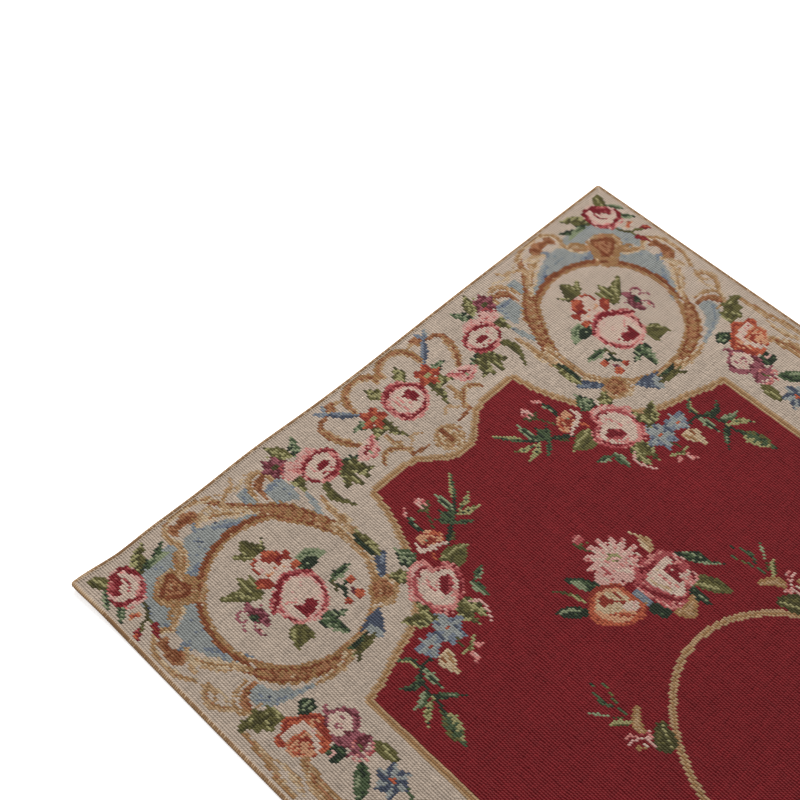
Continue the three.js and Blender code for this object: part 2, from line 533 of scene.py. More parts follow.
def stitch_nodes():
    """The nodes that work one stitch on every point, each a little unlike the next."""
    tree = bpy.data.node_groups.new("worked_stitches", "GeometryNodeTree")
    for name, kind in (
        ("Geometry", "Geometry"),
        ("Stitch", "Object"),
        ("Width", "Float"),
        ("Length", "Float"),
        ("Height", "Float"),
        ("Unevenness", "Float"),
        ("Tone spread", "Float"),
        ("Seed", "Int"),
        ("Wool", "Material"),
    ):
        tree.interface.new_socket(name, in_out="INPUT", socket_type="NodeSocket" + kind)
    tree.interface.new_socket("Geometry", in_out="OUTPUT", socket_type="NodeSocketGeometry")
    given = add_node(tree, "NodeGroupInput").outputs
    shape = add_node(tree, "GeometryNodeObjectInfo", {"Object": given["Stitch"]})

    def around_one(spread, offset):
        """For each stitch a number at random, at most the spread away from 1."""
        low = add_node(tree, "ShaderNodeMath", {0: 1, 1: spread}, operation="SUBTRACT")
        high = add_node(tree, "ShaderNodeMath", {0: 1, 1: spread}, operation="ADD")
        seed = add_node(tree, "ShaderNodeMath", {0: given["Seed"], 1: offset}, operation="ADD")
        limits = {2: low.outputs[0], 3: high.outputs[0], "Seed": seed.outputs[0]}
        return add_node(tree, "FunctionNodeRandomValue", limits, data_type="FLOAT").outputs[1]

    height = add_node(tree, "ShaderNodeMath", {
        0: given["Height"],
        1: around_one(given["Unevenness"], 1),
    }, operation="MULTIPLY")
    size = add_node(tree, "ShaderNodeCombineXYZ", {
        "X": given["Width"],
        "Y": given["Length"],
        "Z": height.outputs[0],
    })
    turn = add_node(tree, "GeometryNodeInputNamedAttribute", {"Name": "turn"}, data_type="FLOAT")
    angle = add_node(tree, "ShaderNodeCombineXYZ", {"Z": turn.outputs["Attribute"]})
    place = add_node(tree, "GeometryNodeInstanceOnPoints", {
        "Points": given["Geometry"],
        "Instance": shape.outputs["Geometry"],
        "Scale": size.outputs[0],
        "Rotation": angle.outputs[0],
    })
    tone = add_node(tree, "GeometryNodeStoreNamedAttribute", {
        "Geometry": place.outputs["Instances"],
        "Name": "tone",
        "Value": around_one(given["Tone spread"], 2),
    }, data_type="FLOAT", domain="INSTANCE")
    real = add_node(tree, "GeometryNodeRealizeInstances", {"Geometry": tone.outputs["Geometry"]})
    dress = add_node(tree, "GeometryNodeSetMaterial", {
        "Geometry": real.outputs["Geometry"],
        "Material": given["Wool"],
    })
    add_node(tree, "NodeGroupOutput", {"Geometry": dress.outputs["Geometry"]})
    return tree


def linear(colours):
    """Screen colours as the light they stand for, with full cover."""
    share = np.asarray(colours, float) / 255
    light = np.where(share <= 0.04045, share / 12.92, ((share + 0.055) / 1.055) ** 2.4)
    return np.c_[light, np.ones(len(light))].astype(np.float32)


def corner_points(mesh):
    """The number of the point at each corner of each face."""
    numbers = np.empty(len(mesh.loops), int)
    mesh.loops.foreach_get("vertex_index", numbers)
    return numbers


def set_map(mesh, places):
    """Gives a mesh its flat map, from a place in the map for each corner of each face."""
    layer = mesh.uv_layers.new(name="OFBake")
    layer.uv.foreach_set("vector", np.asarray(places, np.float32).ravel())


def sew(name, shape, shape_map, spots, yarns, wool, size, unevenness, seed, turns=0.0):
    """A piece with one stitch on every spot, each in its own cell of the flat map."""
    mesh = bpy.data.meshes.new(name)
    mesh.vertices.add(len(spots))
    mesh.vertices.foreach_set("co", np.asarray(spots, np.float32).ravel())
    set_values(mesh, "yarn", linear(yarns))
    set_values(mesh, "turn", np.zeros(len(spots)) + turns)
    piece = bpy.data.objects.new(name, mesh)
    bpy.context.collection.objects.link(piece)
    modifier = piece.modifiers.new("stitches", "NODES")
    modifier.node_group = stitch_tree
    values = {
        "Stitch": shape,
        "Width": size[0],
        "Length": size[1],
        "Height": size[2],
        "Unevenness": unevenness,
        "Tone spread": TONE_SPREAD,
        "Seed": seed,
        "Wool": wool,
    }
    for socket in stitch_tree.interface.items_tree:
        if socket.name in values:
            modifier[socket.identifier] = values[socket.name]
    bpy.context.view_layer.update()
    depsgraph = bpy.context.evaluated_depsgraph_get()
    evaluated = piece.evaluated_get(depsgraph)
    worked = bpy.data.meshes.new_from_object(
        evaluated, preserve_all_data_layers=True, depsgraph=depsgraph
    )
    piece.modifiers.clear()
    piece.data = worked
    bpy.data.meshes.remove(mesh)
    worked.name = name
    points = np.empty(len(worked.vertices) * 3, np.float32)
    worked.vertices.foreach_get("co", points)
    worked.vertices.foreach_set("co", lay(points.reshape(-1, 3)).astype(np.float32).ravel())
    side = math.ceil(math.sqrt(len(spots)))
    cell = np.arange(len(spots))
    corner = np.stack([cell % side, cell // side], -1)
    inside = CELL_MARGIN + (1 - 2 * CELL_MARGIN) * np.asarray(shape_map)
    places = ((corner[:, None, :] + inside) / side).reshape(-1, 2)
    set_map(worked, places[corner_points(worked)])
    worked.update()
    return piece


tile_points = [
    (x * STITCH_SPREAD, y * STITCH_SPREAD - 2 * STITCH_LEAN * x, z) for x, y, z in TILE
]
tile_map = [(x / TILE_SPAN + 0.5, y / TILE_SPAN + 0.5) for x, y, z in TILE]
tent_stitch = stitch_shape("tent_stitch", tile_points, TILE_FACES, [z for x, y, z in TILE])
stitch_tree = stitch_nodes()
stitch_wool = wool_material("stitch_wool", valley_painted_shade=0.34)
yarn_colours = np.array(list(YARNS.values()))


# How far the wool's lightness drifts and stitches stray, and over how many stitches
STREAK_RUN = 12
STREAK_ACROSS = 0.016
STREAK_ALONG = 0.012
STRAY_RUN = 5
STRAY_TOGETHER = 0.08
STRAY_ALONE = 0.02
STRAIGHT_EDGE = 6


def evened(noise, axis, length):
    """Noise evened out along one axis over a run of stitches."""
    run = np.ones(length) / length**0.5
    return np.apply_along_axis(np.convolve, axis, noise, run, "same")


def streaks(seed):
    """How light the wools are over the chart: soft streaks along its rows and columns."""
    luck = np.random.default_rng(seed)
    over, down = luck.normal(size=(2,) + chart.shape)
    return 1 + STREAK_ACROSS * evened(over, 1, STREAK_RUN) + STREAK_ALONG * evened(down, 0, STREAK_RUN)


def straying(seed):
    """How far the stitches stray from straight rows, across and along, in stitches."""
    luck = np.random.default_rng(seed)
    noise = luck.normal(size=(2,) + chart.shape)
    for axis in (1, 2):
        noise = evened(noise, axis, STRAY_RUN)
    noise = STRAY_TOGETHER * noise + STRAY_ALONE * luck.normal(size=noise.shape)
    from_side = np.minimum(np.arange(ACROSS), np.arange(ACROSS)[::-1])
    from_end = np.minimum(np.arange(ALONG), np.arange(ALONG)[::-1])
    return noise * np.clip(np.minimum(from_side, from_end[:, None]) / STRAIGHT_EDGE, 0, 1)


wool_tone = streaks(21)
strays = straying(22)


def sew_stitches(name, fresh, seed):
    """A piece of tent stitches over the squares of the chart that were just filled."""
    rows, cols = np.nonzero(fresh)
    stray_x, stray_y = strays[:, rows, cols]
    x = (cols + 0.5 + stray_x) * STITCH - CLOTH_WIDTH / 2
    y = CLOTH_LENGTH / 2 - (rows + 0.5 + stray_y) * STITCH
    spots = np.stack([-x, y, np.full(len(x), CANVAS_THICK)], -1)
    yarns = yarn_colours[chart[rows, cols]] * wool_tone[rows, cols][:, None]
    size = (STITCH, STITCH, CREST_HEIGHT)
    piece = sew(
        name, tent_stitch, tile_map, spots, yarns, stitch_wool, size, STITCH_UNEVENNESS, seed,
    )
    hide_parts("needlepoint_cloth")
    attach(piece, "root")


PINK_ROSE = {
    "edge": "pink", "petal": "rose", "deep": "crimson", "warm": "blush", "body": "ivory",
    "heart": "crimson", "pit": "claret",
}
ORANGE_ROSE = {
    "edge": "peach", "petal": "orange", "deep": "brick", "warm": "peach", "body": "ivory",
    "heart": "brick", "pit": "claret",
}
OLIVE_LEAF = ("moss", "sage", "olive")
LIGHT_LEAF = ("olive", "moss", "sage")
PINE_LEAF = ("pine", "mint", "green")
PLAIN = {name: name for name in YARNS}
# Second shades in short runs: the wool, its second shade and the share of stitches that take it
FLOWER_SHADES = (
    ("olive", "moss", 0.12), ("moss", "olive", 0.14), ("sage", "olive", 0.1), ("green", "pine", 0.1),
    ("pine", "green", 0.12), ("mint", "green", 0.08), ("ivory", "blush", 0.08), ("blush", "pink", 0.08),
    ("pink", "rose", 0.12), ("pink", "blush", 0.12), ("rose", "pink", 0.1), ("rose", "crimson", 0.12),
    ("crimson", "rose", 0.08), ("crimson", "claret", 0.2), ("orange", "brick", 0.16),
    ("peach", "orange", 0.1), ("plum", "mauve", 0.1), ("mauve", "plum", 0.12), ("blue", "indigo", 0.1),
    ("gold", "tan", 0.14), ("cream", "tan", 0.12),
)

# The bouquet in each round medallion
BOUQUET_ROSE = (
    (0, "edge", ((65.8, 55.6), (61, 51), (57, 48.4), (53, 49.6), (47.4, 53.4), (43.6, 57), (45.4, 62),
                 (46, 67), (50, 70), (54.5, 72), (60, 70.6), (63, 67.6), (66, 61))),
    (0, "warm", ((63.6, 56.4), (58, 52.6), (51, 54), (47.6, 59), (48, 66), (52, 70.6), (58, 70),
                 (63.6, 62))),
    (0, "body", ((62.8, 57), (60, 53.4), (55.6, 52.6), (50.6, 55.4), (47.8, 59.4), (48.4, 65.6),
                 (51, 68.4), (57.6, 68), (60.6, 65.4), (63, 61))),
    (1.4, "deep", ((65.6, 55), (60.4, 51.6), (56.8, 50.4), (52.6, 51.8), (48.4, 55.4), (43.6, 58.4))),
    (0.7, "petal", ((65, 54.4), (60, 50.4), (56, 48.6))),
    (0.6, "petal", ((50, 51.8), (46.6, 54.6), (44.4, 56))),
    (0.6, "deep", ((64.4, 57.6), (64.2, 62), (61.6, 68), (59.2, 70))),
    (0.9, "petal", ((62.6, 66), (60, 69), (56, 70.6))),
    (0.6, "deep", ((46.4, 60), (46, 64), (48.4, 67.6))),
    (0.5, "edge", ((48.6, 58.6), (52, 60), (53.4, 62.6))),
    (0, "heart", ((59, 66), (56.6, 63), (53, 63.4), (51.2, 60.8), (50.6, 64.6), (51, 67.6),
                  (54.6, 68.8))),
    (0, "pit", ((56.6, 66.2), (54, 64.6), (51.8, 65.6), (53, 67.4))),
    (0.7, "edge", ((58.6, 69.2), (55, 70), (50.8, 69.2))),
    (0.4, "warm", ((57, 71), (53, 71.2))),
)
BOUQUET_ORANGE = (
    (0, "body", ((64.4, 46), (62.6, 40), (58, 37), (54, 37), (50.6, 40), (49.8, 45), (52.4, 49),
                 (60, 49.6))),
    (0, "deep", ((64.8, 41.4), (62.4, 42), (61, 38.6), (57.4, 36.6), (55.4, 39), (56, 42), (58.2, 42.6),
                 (58.6, 45.6), (61.4, 44.4), (64, 46.4))),
    (0, "petal", ((61, 39.4), (59.4, 37.2), (57, 37), (56.4, 39), (58, 40.4), (60.6, 41))),
    (0.6, "pit", ((62.6, 43.4), (60.4, 43), (58.8, 44.6))),
    (0.7, "deep", ((60, 40), (57.6, 40.6), (56, 42))),
    (0.6, "deep", ((53.6, 37.6), (50.8, 40), (50.2, 44.6))),
    (0.6, "petal", ((54.2, 36.8), (51.6, 38))),
    (0, "deep", ((52.4, 48.4), (50.6, 45.8), (48, 44.4), (46.8, 47), (49, 50), (52, 50.8))),
    (0, "petal", ((49, 46.2), (46.6, 46.6), (46.8, 48.2), (49.2, 48.6))),
    (0, "petal", ((64.8, 47.8), (63, 47.2), (61.6, 49), (62.6, 50.8), (64.6, 50))),
    (0.4, "deep", ((61.8, 48), (61.4, 50.4))),
    (0.4, "warm", ((60.6, 46.6), (58, 47.6))),
    (0.5, "warm", ((56.6, 45), (53, 46.4), (52, 44))),
)
MAUVE_CURLS = (
    (0, "dark", ((42.4, 54), (40, 52), (37.6, 51), (35.6, 54), (36.4, 57.6), (40, 60.4), (41.8, 58))),
    (0, "light", ((40.4, 50.6), (39.6, 48.6), (37.8, 48.6), (37, 51), (38.6, 52.6))),
    (0.5, "light", ((43.4, 53.6), (41, 52.6), (39.8, 54.4), (41.6, 56.4))),
    (0.5, "light", ((41.4, 58.6), (39.8, 58), (38.2, 59), (38.6, 61), (40.6, 61.4))),
    (0.6, "light", ((36.8, 51.4), (35, 50), (33, 50.8), (32.8, 53))),
    (0.5, "light", ((36, 53.6), (34, 54), (32, 55.6), (30.8, 58.6))),
    (0.6, "light", ((36.4, 57.2), (34.8, 58.4), (34.4, 61), (35.8, 63))),
    (0.4, "pale", ((34.4, 51.6), (33.6, 52.6))),
    (0.4, "pale", ((35.2, 59), (35.4, 61.4))),
    (0, "eye", ((38.8, 54.4), (37, 53.6), (36, 55), (36.8, 57.2), (38.4, 56.8))),
)
BOUQUET_LEAVES = (
    (0, "moss", ((61.8, 31.2), (60.6, 34.6), (59.6, 36.8), (55.4, 37.8), (54.2, 34), (53.8, 29.4),
                 (55, 27.2), (57.2, 29), (57.8, 32), (60, 33))),
    (0, "olive", ((54.8, 27.6), (53, 29), (51.4, 31.6), (48, 30.4), (49, 33), (51, 35.6), (54.6, 37.2),
                  (55.4, 33))),
    (0.5, "sage", ((54, 29.6), (52.6, 32), (53.4, 35.4))),
    (0.6, "sage", ((48.6, 31), (51, 33.4), (53.6, 36))),
    (0.4, "sage", ((60.4, 33), (58.4, 35.4))),
    (0.4, "moss", ((51.8, 31.8), (52.4, 34))),
    (0, "mint", ((65.8, 46.6), (70.6, 46.8), (73.8, 50), (75.4, 54), (71.6, 53.2), (68.6, 54.8),
                 (65.4, 54.6), (62.6, 52.6), (63.2, 48.6))),
    (0, "pine", ((63, 50.4), (66, 49.2), (69.6, 50.6), (71.4, 53), (68.4, 54.6), (65, 54.2))),
    (0.5, "green", ((66, 48), (70, 49), (73, 52))),
    (0.4, "mint", ((64, 52.4), (68.4, 52.4))),
    (0, "olive", ((44.4, 51.4), (40, 49), (35.4, 44.4), (33, 40.8), (37.6, 41.6), (41, 42.6), (44, 38),
                  (45, 42), (47.6, 41), (48.2, 47))),
    (0.6, "sage", ((43.6, 39.6), (43.2, 44), (44.4, 48.6))),
    (0.6, "sage", ((34.6, 41.8), (38.4, 44), (43, 49.4))),
    (0.5, "sage", ((39, 42.2), (41.4, 46.6))),
    (0.6, "sage", ((46.8, 42), (46, 46))),
    (0.5, "moss", ((45.2, 43), (44.8, 47), (46.6, 50))),
    (0.5, "moss", ((41.8, 43.4), (42.6, 47))),
    (0.5, "moss", ((36.6, 44.4), (41, 49.4))),
)
bouquet = blank_quarter()
petals(bouquet, BOUQUET_LEAVES, PLAIN)
patch(bouquet, [(49, 69.4), (46, 67.6), (42.4, 68.4), (40.6, 72), (39.6, 76.4), (43, 75), (48, 76),
                (49, 73)], "olive")
stroke(bouquet, [(48, 69.4), (44.6, 71.4), (41, 75.6)], [0.6, 0.7, 0.5], [(1, "moss")], teeth=0.4,
       tooth=2)
stroke(bouquet, [(45.6, 68.4), (43, 69.6), (41.4, 72.4)], [0.5, 0.8, 0.5], [(1, "sage")], teeth=0.5,
       tooth=2)
stroke(bouquet, [(47.4, 72), (46.4, 75.4)], [0.6, 0.5], [(1, "moss")])
leaf(bouquet, (57, 71.4), (63.9, 76.4), 2.6, PINE_LEAF, bend=0.15)
leaf(bouquet, (57, 71.4), (52.8, 76.4), 2.8, ("pine", "green", "pine"))
leaf(bouquet, (57, 72), (58, 83.4), 3.4, ("pine", "green", "mint"), bend=0.05)
leaf(bouquet, (67.6, 63.4), (78.2, 62.6), 2.3, ("green", "pine", "mint"), teeth=0.2)
stroke(bouquet, [(67.4, 64), (68.4, 68), (69.6, 69.4), (67.2, 71.6)], [0.7, 0.8], [(1, "pine")])
stroke(bouquet, [(68, 64), (66.6, 68)], [0.6, 0.6], [(1, "moss")])
stroke(bouquet, [(68.6, 68), (72, 67.6)], [0.7, 0.7], [(1, "pine")])
stroke(bouquet, [(71.4, 71.6), (70.4, 73.6)], [0.9, 0.7], [(1, "plum")])
for x, y, size in ((73.4, 68, 1.9), (71.6, 74.8, 2.1), (66.7, 74, 1.5)):
    dot(bouquet, x, y, size, "brick")
    dot(bouquet, x + 0.4, y - 0.3, size * 0.84, "orange")
petals(bouquet, MAUVE_CURLS, {"dark": "plum", "light": "mauve", "pale": "pink", "eye": "pine"})
petals(bouquet, BOUQUET_ORANGE, ORANGE_ROSE)
petals(bouquet, BOUQUET_ROSE, PINK_ROSE)

# The bud in each corner, with its leaves and a twig of berries
CORNER_BUD = (
    (0, "warm", ((18.6, 9), (15.4, 6), (10.8, 6), (7, 10), (4.6, 13.6), (3.8, 18), (7.6, 20.4),
                 (12, 22.6), (16.4, 19.4), (19.2, 14))),
    (0, "body", ((16.6, 10.4), (13.6, 7.4), (11.6, 8.4), (7, 15), (6, 18), (10.6, 19.8), (15, 17.6))),
    (1.3, "deep", ((18.4, 14.4), (17.6, 10), (16.4, 7.4), (14.4, 6.6), (12.4, 6.8))),
    (0, "deep", ((12.8, 7.4), (10.6, 6.2), (8.6, 9.6), (6, 11.6), (6.6, 14.4), (8.6, 15.6), (9.8, 13),
                 (12.2, 11.6))),
    (0.7, "petal", ((9.4, 8.6), (7.4, 10.4), (5.8, 11.8))),
    (0.5, "edge", ((8.4, 9.4), (6.8, 11))),
    (1.0, "petal", ((18.8, 14), (17.2, 17.4), (14.4, 19.8), (11, 21))),
    (0.5, "deep", ((17.6, 15.4), (15.6, 18.2), (12.4, 20.2))),
    (0.7, "edge", ((16.8, 15.4), (14, 18.6), (11, 19.6))),
    (1.2, "deep", ((11, 19.8), (7.6, 19.2), (5.2, 18), (4.6, 15.4))),
    (0.5, "petal", ((13.6, 11), (13, 14.6), (10.8, 16.6))),
    (0.5, "edge", ((14.6, 22), (10, 22.6), (6, 21))),
)
corner = blank_quarter()
patch(corner, [(9.2, 7), (8, 4.4), (5, 3.2), (3, 4), (3.6, 7.6), (5.4, 10), (8.4, 9.4)], "olive")
stroke(corner, [(7, 9), (6, 6), (5.4, 3.8)], [0.8, 0.8, 0.5], [(1, "sage")], teeth=0.4, tooth=1.8)
stroke(corner, [(4, 4.4), (4.6, 7.4), (5.6, 9.8)], [0.5, 0.7, 0.5], [(1, "moss")])
leaf(corner, (5.4, 11), (1.2, 17), 1.9, ("green", "pine", "mint"), teeth=0.2)
leaf(corner, (5.4, 19), (1.2, 24.4), 1.8, ("mint", "pine", "green"), teeth=0.2)
leaf(corner, (18.6, 13), (27.6, 3.6), 3.4, ("sage", "moss", "olive"), bend=-0.08)
leaf(corner, (21, 12), (33.6, 7.4), 2.3, ("pine", "pine", "green"), bend=0.14, teeth=0.3)
leaf(corner, (23, 12), (33, 12.6), 1.6, ("mint", "green", "mint"), teeth=0)
stroke(corner, [(13, 22), (12, 25.4), (9.6, 28.6), (4.6, 29.8)], [0.7, 0.6], [(1, "moss")])
stroke(corner, [(9.6, 28.6), (9.2, 32)], [0.6, 0.6], [(1, "olive")])
stroke(corner, [(6.6, 29.2), (5, 30.8)], [0.6, 0.6], [(1, "olive")])
stroke(corner, [(8.4, 25.6), (6.6, 25), (4.6, 25)], [0.9, 1.3, 0.8], [(1, "peach")], teeth=0.3, tooth=2)
stroke(corner, [(7.4, 25.4), (5.6, 24.6)], [0.7, 0.7], [(1, "orange")])
stroke(corner, [(3.6, 30), (2.4, 31.4), (1.4, 32.6)], [1.0, 1.6, 0.8], [(1, "crimson")])
stroke(corner, [(9.4, 32.4), (8.6, 34.4), (7.8, 36.6)], [1.3, 1.5, 0.7], [(1, "crimson")])
stroke(corner, [(2.2, 30.6), (1.2, 31.8)], [0.5, 0.5], [(1, "orange")])
stroke(corner, [(8.4, 33.4), (8, 35.4)], [0.5, 0.5], [(1, "brick")])
petals(corner, CORNER_BUD, PINK_ROSE)

# The roses on the short sides, between the medallions and the middle
SHORT_ROSE = (
    (0, "warm", ((104, 16.4), (101, 13.6), (97, 13.4), (94, 16), (91, 13), (88, 15.6), (85.6, 19),
                 (88.6, 21.4), (95, 21))),
    (0.5, "edge", ((103, 16.8), (99.6, 15.4), (96.4, 16.6))),
    (0.4, "edge", ((93.4, 14.6), (92, 17.4), (89, 19))),
    (0.7, "petal", ((90, 13.4), (87.6, 14.6), (85.6, 18))),
    (0, "edge", ((109.6, 22.4), (106, 18), (102, 16.4), (97, 17), (92, 19.4), (90.6, 23), (92.4, 27),
                 (95, 30), (99.6, 31.4), (105, 29.6), (108, 26.4))),
    (0, "body", ((106.6, 22.4), (104.6, 20), (101, 18.6), (95.6, 20.6), (93, 23.6), (94.4, 27.4),
                 (98, 28.4), (104.6, 27.4))),
    (1.0, "deep", ((108.8, 22.8), (106, 19.6), (102.6, 18), (98.4, 18.4), (94.6, 20), (91.6, 23))),
    (1.0, "deep", ((107.8, 24.6), (105.6, 27.4), (101.8, 29.4), (97.4, 29.2))),
    (0.6, "deep", ((92, 24.6), (93.4, 27.6), (95.6, 29.4))),
    (0, "heart", ((104, 23.4), (101.6, 22.2), (98.6, 23), (98, 25.4), (101, 26), (103.2, 25.4))),
    (0.5, "petal", ((103.4, 26.4), (100.4, 27.6), (97.6, 26.6))),
    (0.5, "edge", ((97, 21.6), (96, 25))),
    (0.7, "petal", ((108.8, 21.6), (106.4, 18.6), (103.6, 17))),
    (0.6, "petal", ((107.6, 27), (104.4, 30), (100, 31))),
    (0.5, "warm", ((106, 25), (103.6, 27.8))),
)
short_side = blank_quarter()
leaf(short_side, (96, 14.5), (100.5, 6), 3.0, PINE_LEAF)
leaf(short_side, (94, 13), (89, 2.6), 3.2, OLIVE_LEAF)
leaf(short_side, (92, 12), (87.5, 7), 2.4, OLIVE_LEAF)
leaf(short_side, (89.5, 19), (88, 28.5), 2.6, LIGHT_LEAF, teeth=0)
leaf(short_side, (107, 28), (115, 32.5), 2.6, PINE_LEAF)
leaf(short_side, (103, 29), (110, 40.5), 3.4, OLIVE_LEAF, bend=-0.3)
leaf(short_side, (106, 30), (115, 38.5), 2.8, LIGHT_LEAF, bend=0.1)
leaf(short_side, (104, 29), (100, 38.5), 2.6, LIGHT_LEAF, bend=-0.2, teeth=0)
leaf(short_side, (105, 33), (106, 42), 2.0, OLIVE_LEAF, teeth=0)
leaf(short_side, (96, 29), (97.6, 46), 1.9, ("moss", "olive", "olive"), bend=0.16, teeth=0)
daisy(short_side, 86.5, 12.5, 5.4, 6, "mauve", "plum", "moss", turn=0.2, slim=0.34)
petals(short_side, SHORT_ROSE, PINK_ROSE)
# a pink bud hanging by the scroll
petals(short_side, (
    (0, "warm", ((124, 26.6), (119, 27), (114, 29.6), (112.6, 33), (117, 34.6), (121, 34), (123.6, 31))),
    (0.7, "body", ((122.6, 27.8), (119.6, 27.6), (117, 28.8))),
    (0.9, "edge", ((124.4, 27.4), (121.6, 30.4), (118.4, 31.6), (114.6, 30.4))),
    (0.7, "petal", ((123.6, 26.4), (121.6, 29.6), (118.4, 31), (115.6, 30.2))),
    (0.7, "deep", ((119.2, 28.4), (118.4, 30.8), (116.4, 32))),
    (0.7, "edge", ((123.6, 32.4), (119, 34.6), (114, 33))),
    (0.9, "eye", ((119, 32.2), (118.4, 32.6))),
), dict(PINK_ROSE, eye="mint"))

# The rose and two orange flowers in the middle of each short side
LONE_ROSE = (
    (0, "edge", ((155, 20), (152, 15.6), (147, 14), (142, 14.6), (139, 18), (136, 21.6), (136.6, 27.6),
                 (139.6, 31.6), (145, 34), (151, 33), (154.4, 28))),
    (0, "warm", ((152.6, 20.6), (149, 18), (143.6, 17.6), (139.6, 20.6), (138.4, 26), (141, 29.6),
                 (147, 30.8), (151.6, 27))),
    (0, "body", ((152, 22), (148, 18.4), (143.4, 18.4), (139.6, 22), (139, 26), (142, 29.4), (147, 30.2),
                 (151.4, 26.6))),
    (0.9, "deep", ((152.6, 18.6), (149, 16.8), (144.6, 16), (141.2, 17.8), (138.2, 20.6), (137, 24),
                   (137.8, 27.6))),
    (1.1, "deep", ((152.8, 26.6), (150.6, 31.2), (146.6, 31.8), (142.6, 31.6), (139.6, 29))),
    (0.7, "petal", ((153.8, 18), (154.2, 22), (153.6, 26))),
    (0.8, "petal", ((151.6, 15.8), (147, 14.6), (142.6, 15))),
    (0.6, "edge", ((149.6, 19.6), (149.4, 24), (148.4, 28))),
    (0.4, "edge", ((147.6, 20.6), (147, 26))),
    (0, "heart", ((146, 22.2), (144, 21), (141.4, 21), (139.8, 24), (141, 26.8), (143.6, 26.6),
                  (144.6, 24))),
    (0, "pit", ((143.4, 22.6), (141.4, 22.4), (141, 24.8), (143, 25.4))),
)
middle_rose = blank_quarter()
leaf(middle_rose, (141, 17), (137.6, 9), 3.2, OLIVE_LEAF, teeth=0.25)
leaf(middle_rose, (139, 16), (136.2, 11.5), 2.0, LIGHT_LEAF)
leaf(middle_rose, (131, 25), (124.5, 29.5), 3.2, OLIVE_LEAF)
leaf(middle_rose, (133, 24), (134.5, 37), 2.6, LIGHT_LEAF, bend=0.1)
leaf(middle_rose, (129, 21.5), (120.2, 20.6), 2.6, PINE_LEAF)
daisy(middle_rose, 130.6, 21.4, 5.6, 5, "orange", "brick", "sage", turn=0.5, slim=0.34)
lone_rose = np.full(chart.shape, BLANK)
petals(lone_rose, LONE_ROSE, PINK_ROSE)
lone_rose = np.where(lone_rose == BLANK, lone_rose[::-1], lone_rose)

# The garland that lies from each medallion onto the field
GARLAND_ROSE = (
    (0, "edge", ((99, 86), (98.6, 81), (93.6, 79.6), (89.6, 81.6), (86.6, 85), (83.2, 89), (85, 93),
                 (86, 100), (90, 104), (94, 103), (99, 101.6), (103.4, 97), (105.8, 92), (103.8, 87))),
    (0, "warm", ((97.6, 85.4), (96.6, 81.4), (93, 80.6), (90, 83), (91.6, 85.6), (95, 84.4))),
    (0.9, "petal", ((98, 84.6), (95.4, 82.6), (91.4, 84), (88.4, 87), (86.6, 91), (87, 95.6))),
    (0.9, "petal", ((100, 86.4), (103.2, 88), (104.8, 91.6), (103.6, 95.4), (100.6, 99.6), (96, 102))),
    (0.6, "deep", ((97.4, 84.6), (94.6, 83.4), (91.6, 85.4))),
    (0.7, "deep", ((99.6, 88), (102.2, 90.6), (103.2, 94.4), (100.4, 98.6), (96.4, 101.4))),
    (0.7, "petal", ((86.4, 94.6), (87, 99), (90.6, 102.6))),
    (0, "body", ((95.4, 84), (91.6, 85.6), (88.4, 89), (87.4, 94), (89.4, 98.4), (93.4, 101.4), (97, 99),
                 (101, 97), (102.8, 92), (100.4, 88.6), (97.4, 87))),
    (0.5, "edge", ((95, 86.4), (93, 89.6), (92.6, 93))),
    (0, "heart", ((101.4, 92), (98, 90.8), (95.8, 92.2), (93.8, 95.4), (94.8, 97.6), (98, 97),
                  (100.2, 95))),
    (0.6, "petal", ((101, 93.6), (98.6, 96.2), (95, 96.8))),
    (0, "pit", ((100, 92.8), (97, 92.4), (95, 95.4), (96.4, 96.8))),
    (0.5, "edge", ((93.6, 99.6), (97.4, 98.6), (100.6, 96.4))),
    (0.4, "deep", ((89.4, 103), (91.6, 103.6))),
    (0.5, "warm", ((85, 88.4), (84, 91))),
)
garland = blank_quarter()
FERN = ("sage", "pine", "green")
MINT_FERN = ("green", "pine", "mint")
stroke(garland, [(110.4, 82.6), (116, 78.4), (119.6, 76), (124, 73), (127.6, 69)], [0.9, 0.8, 0.6],
       [(1, "pine")])
for base, tip, width, yarns, bend in (
    ((126, 70.6), (134, 60.8), 1.4, FERN, 0.0),
    ((122.2, 73.6), (122.8, 64), 1.8, ("mint", "pine", "mint"), 0.0),
    ((119.4, 76), (118.2, 70), 1.9, ("green", "green", "pine"), 0.0),
    ((118.4, 77), (114.4, 71.6), 1.5, ("green", "pine", "green"), 0.0),
    ((120.4, 76), (121.8, 71.4), 1.4, ("green", "pine", "green"), 0.0),
    ((124.6, 75), (132.4, 72), 1.5, ("sage", "green", "sage"), 0.1),
    ((122.6, 75.8), (131.6, 78.8), 1.5, ("sage", "pine", "sage"), 0.08),
    ((118.4, 77.6), (125, 82.8), 1.2, ("green", "pine", "green"), 0.0),
    ((116, 79.4), (113, 83.6), 1.0, ("moss", "pine", "moss"), 0.0),
    ((106.8, 74), (107.2, 63.6), 1.5, ("pine", "green", "pine"), 0.0),
    ((95, 80.6), (94.5, 70.6), 4.2, ("pine", "mint", "green"), 0.0),
    ((89.6, 83), (85, 76.6), 3.6, OLIVE_LEAF, 0.0),
    ((95, 102), (98.6, 113), 3.8, OLIVE_LEAF, -0.1),
    ((93, 102), (94.6, 114), 2.8, LIGHT_LEAF, 0.0),
    ((107, 100), (112.8, 98), 2.0, MINT_FERN, 0.0),
    ((105, 99.6), (105.2, 108.6), 2.0, MINT_FERN, 0.0),
):
    leaf(garland, base, tip, width, yarns, bend=bend, teeth=0.15 if width < 2.5 else 0.3)
stroke(garland, [(110.2, 75.6), (112.6, 71.6), (115, 66)], [0.5, 0.5], [(1, "moss")])
stroke(garland, [(118, 63.6), (116.6, 65.8), (114.6, 66), (112.6, 64.6)], [0.7, 1.1, 0.6], [(1, "moss")])
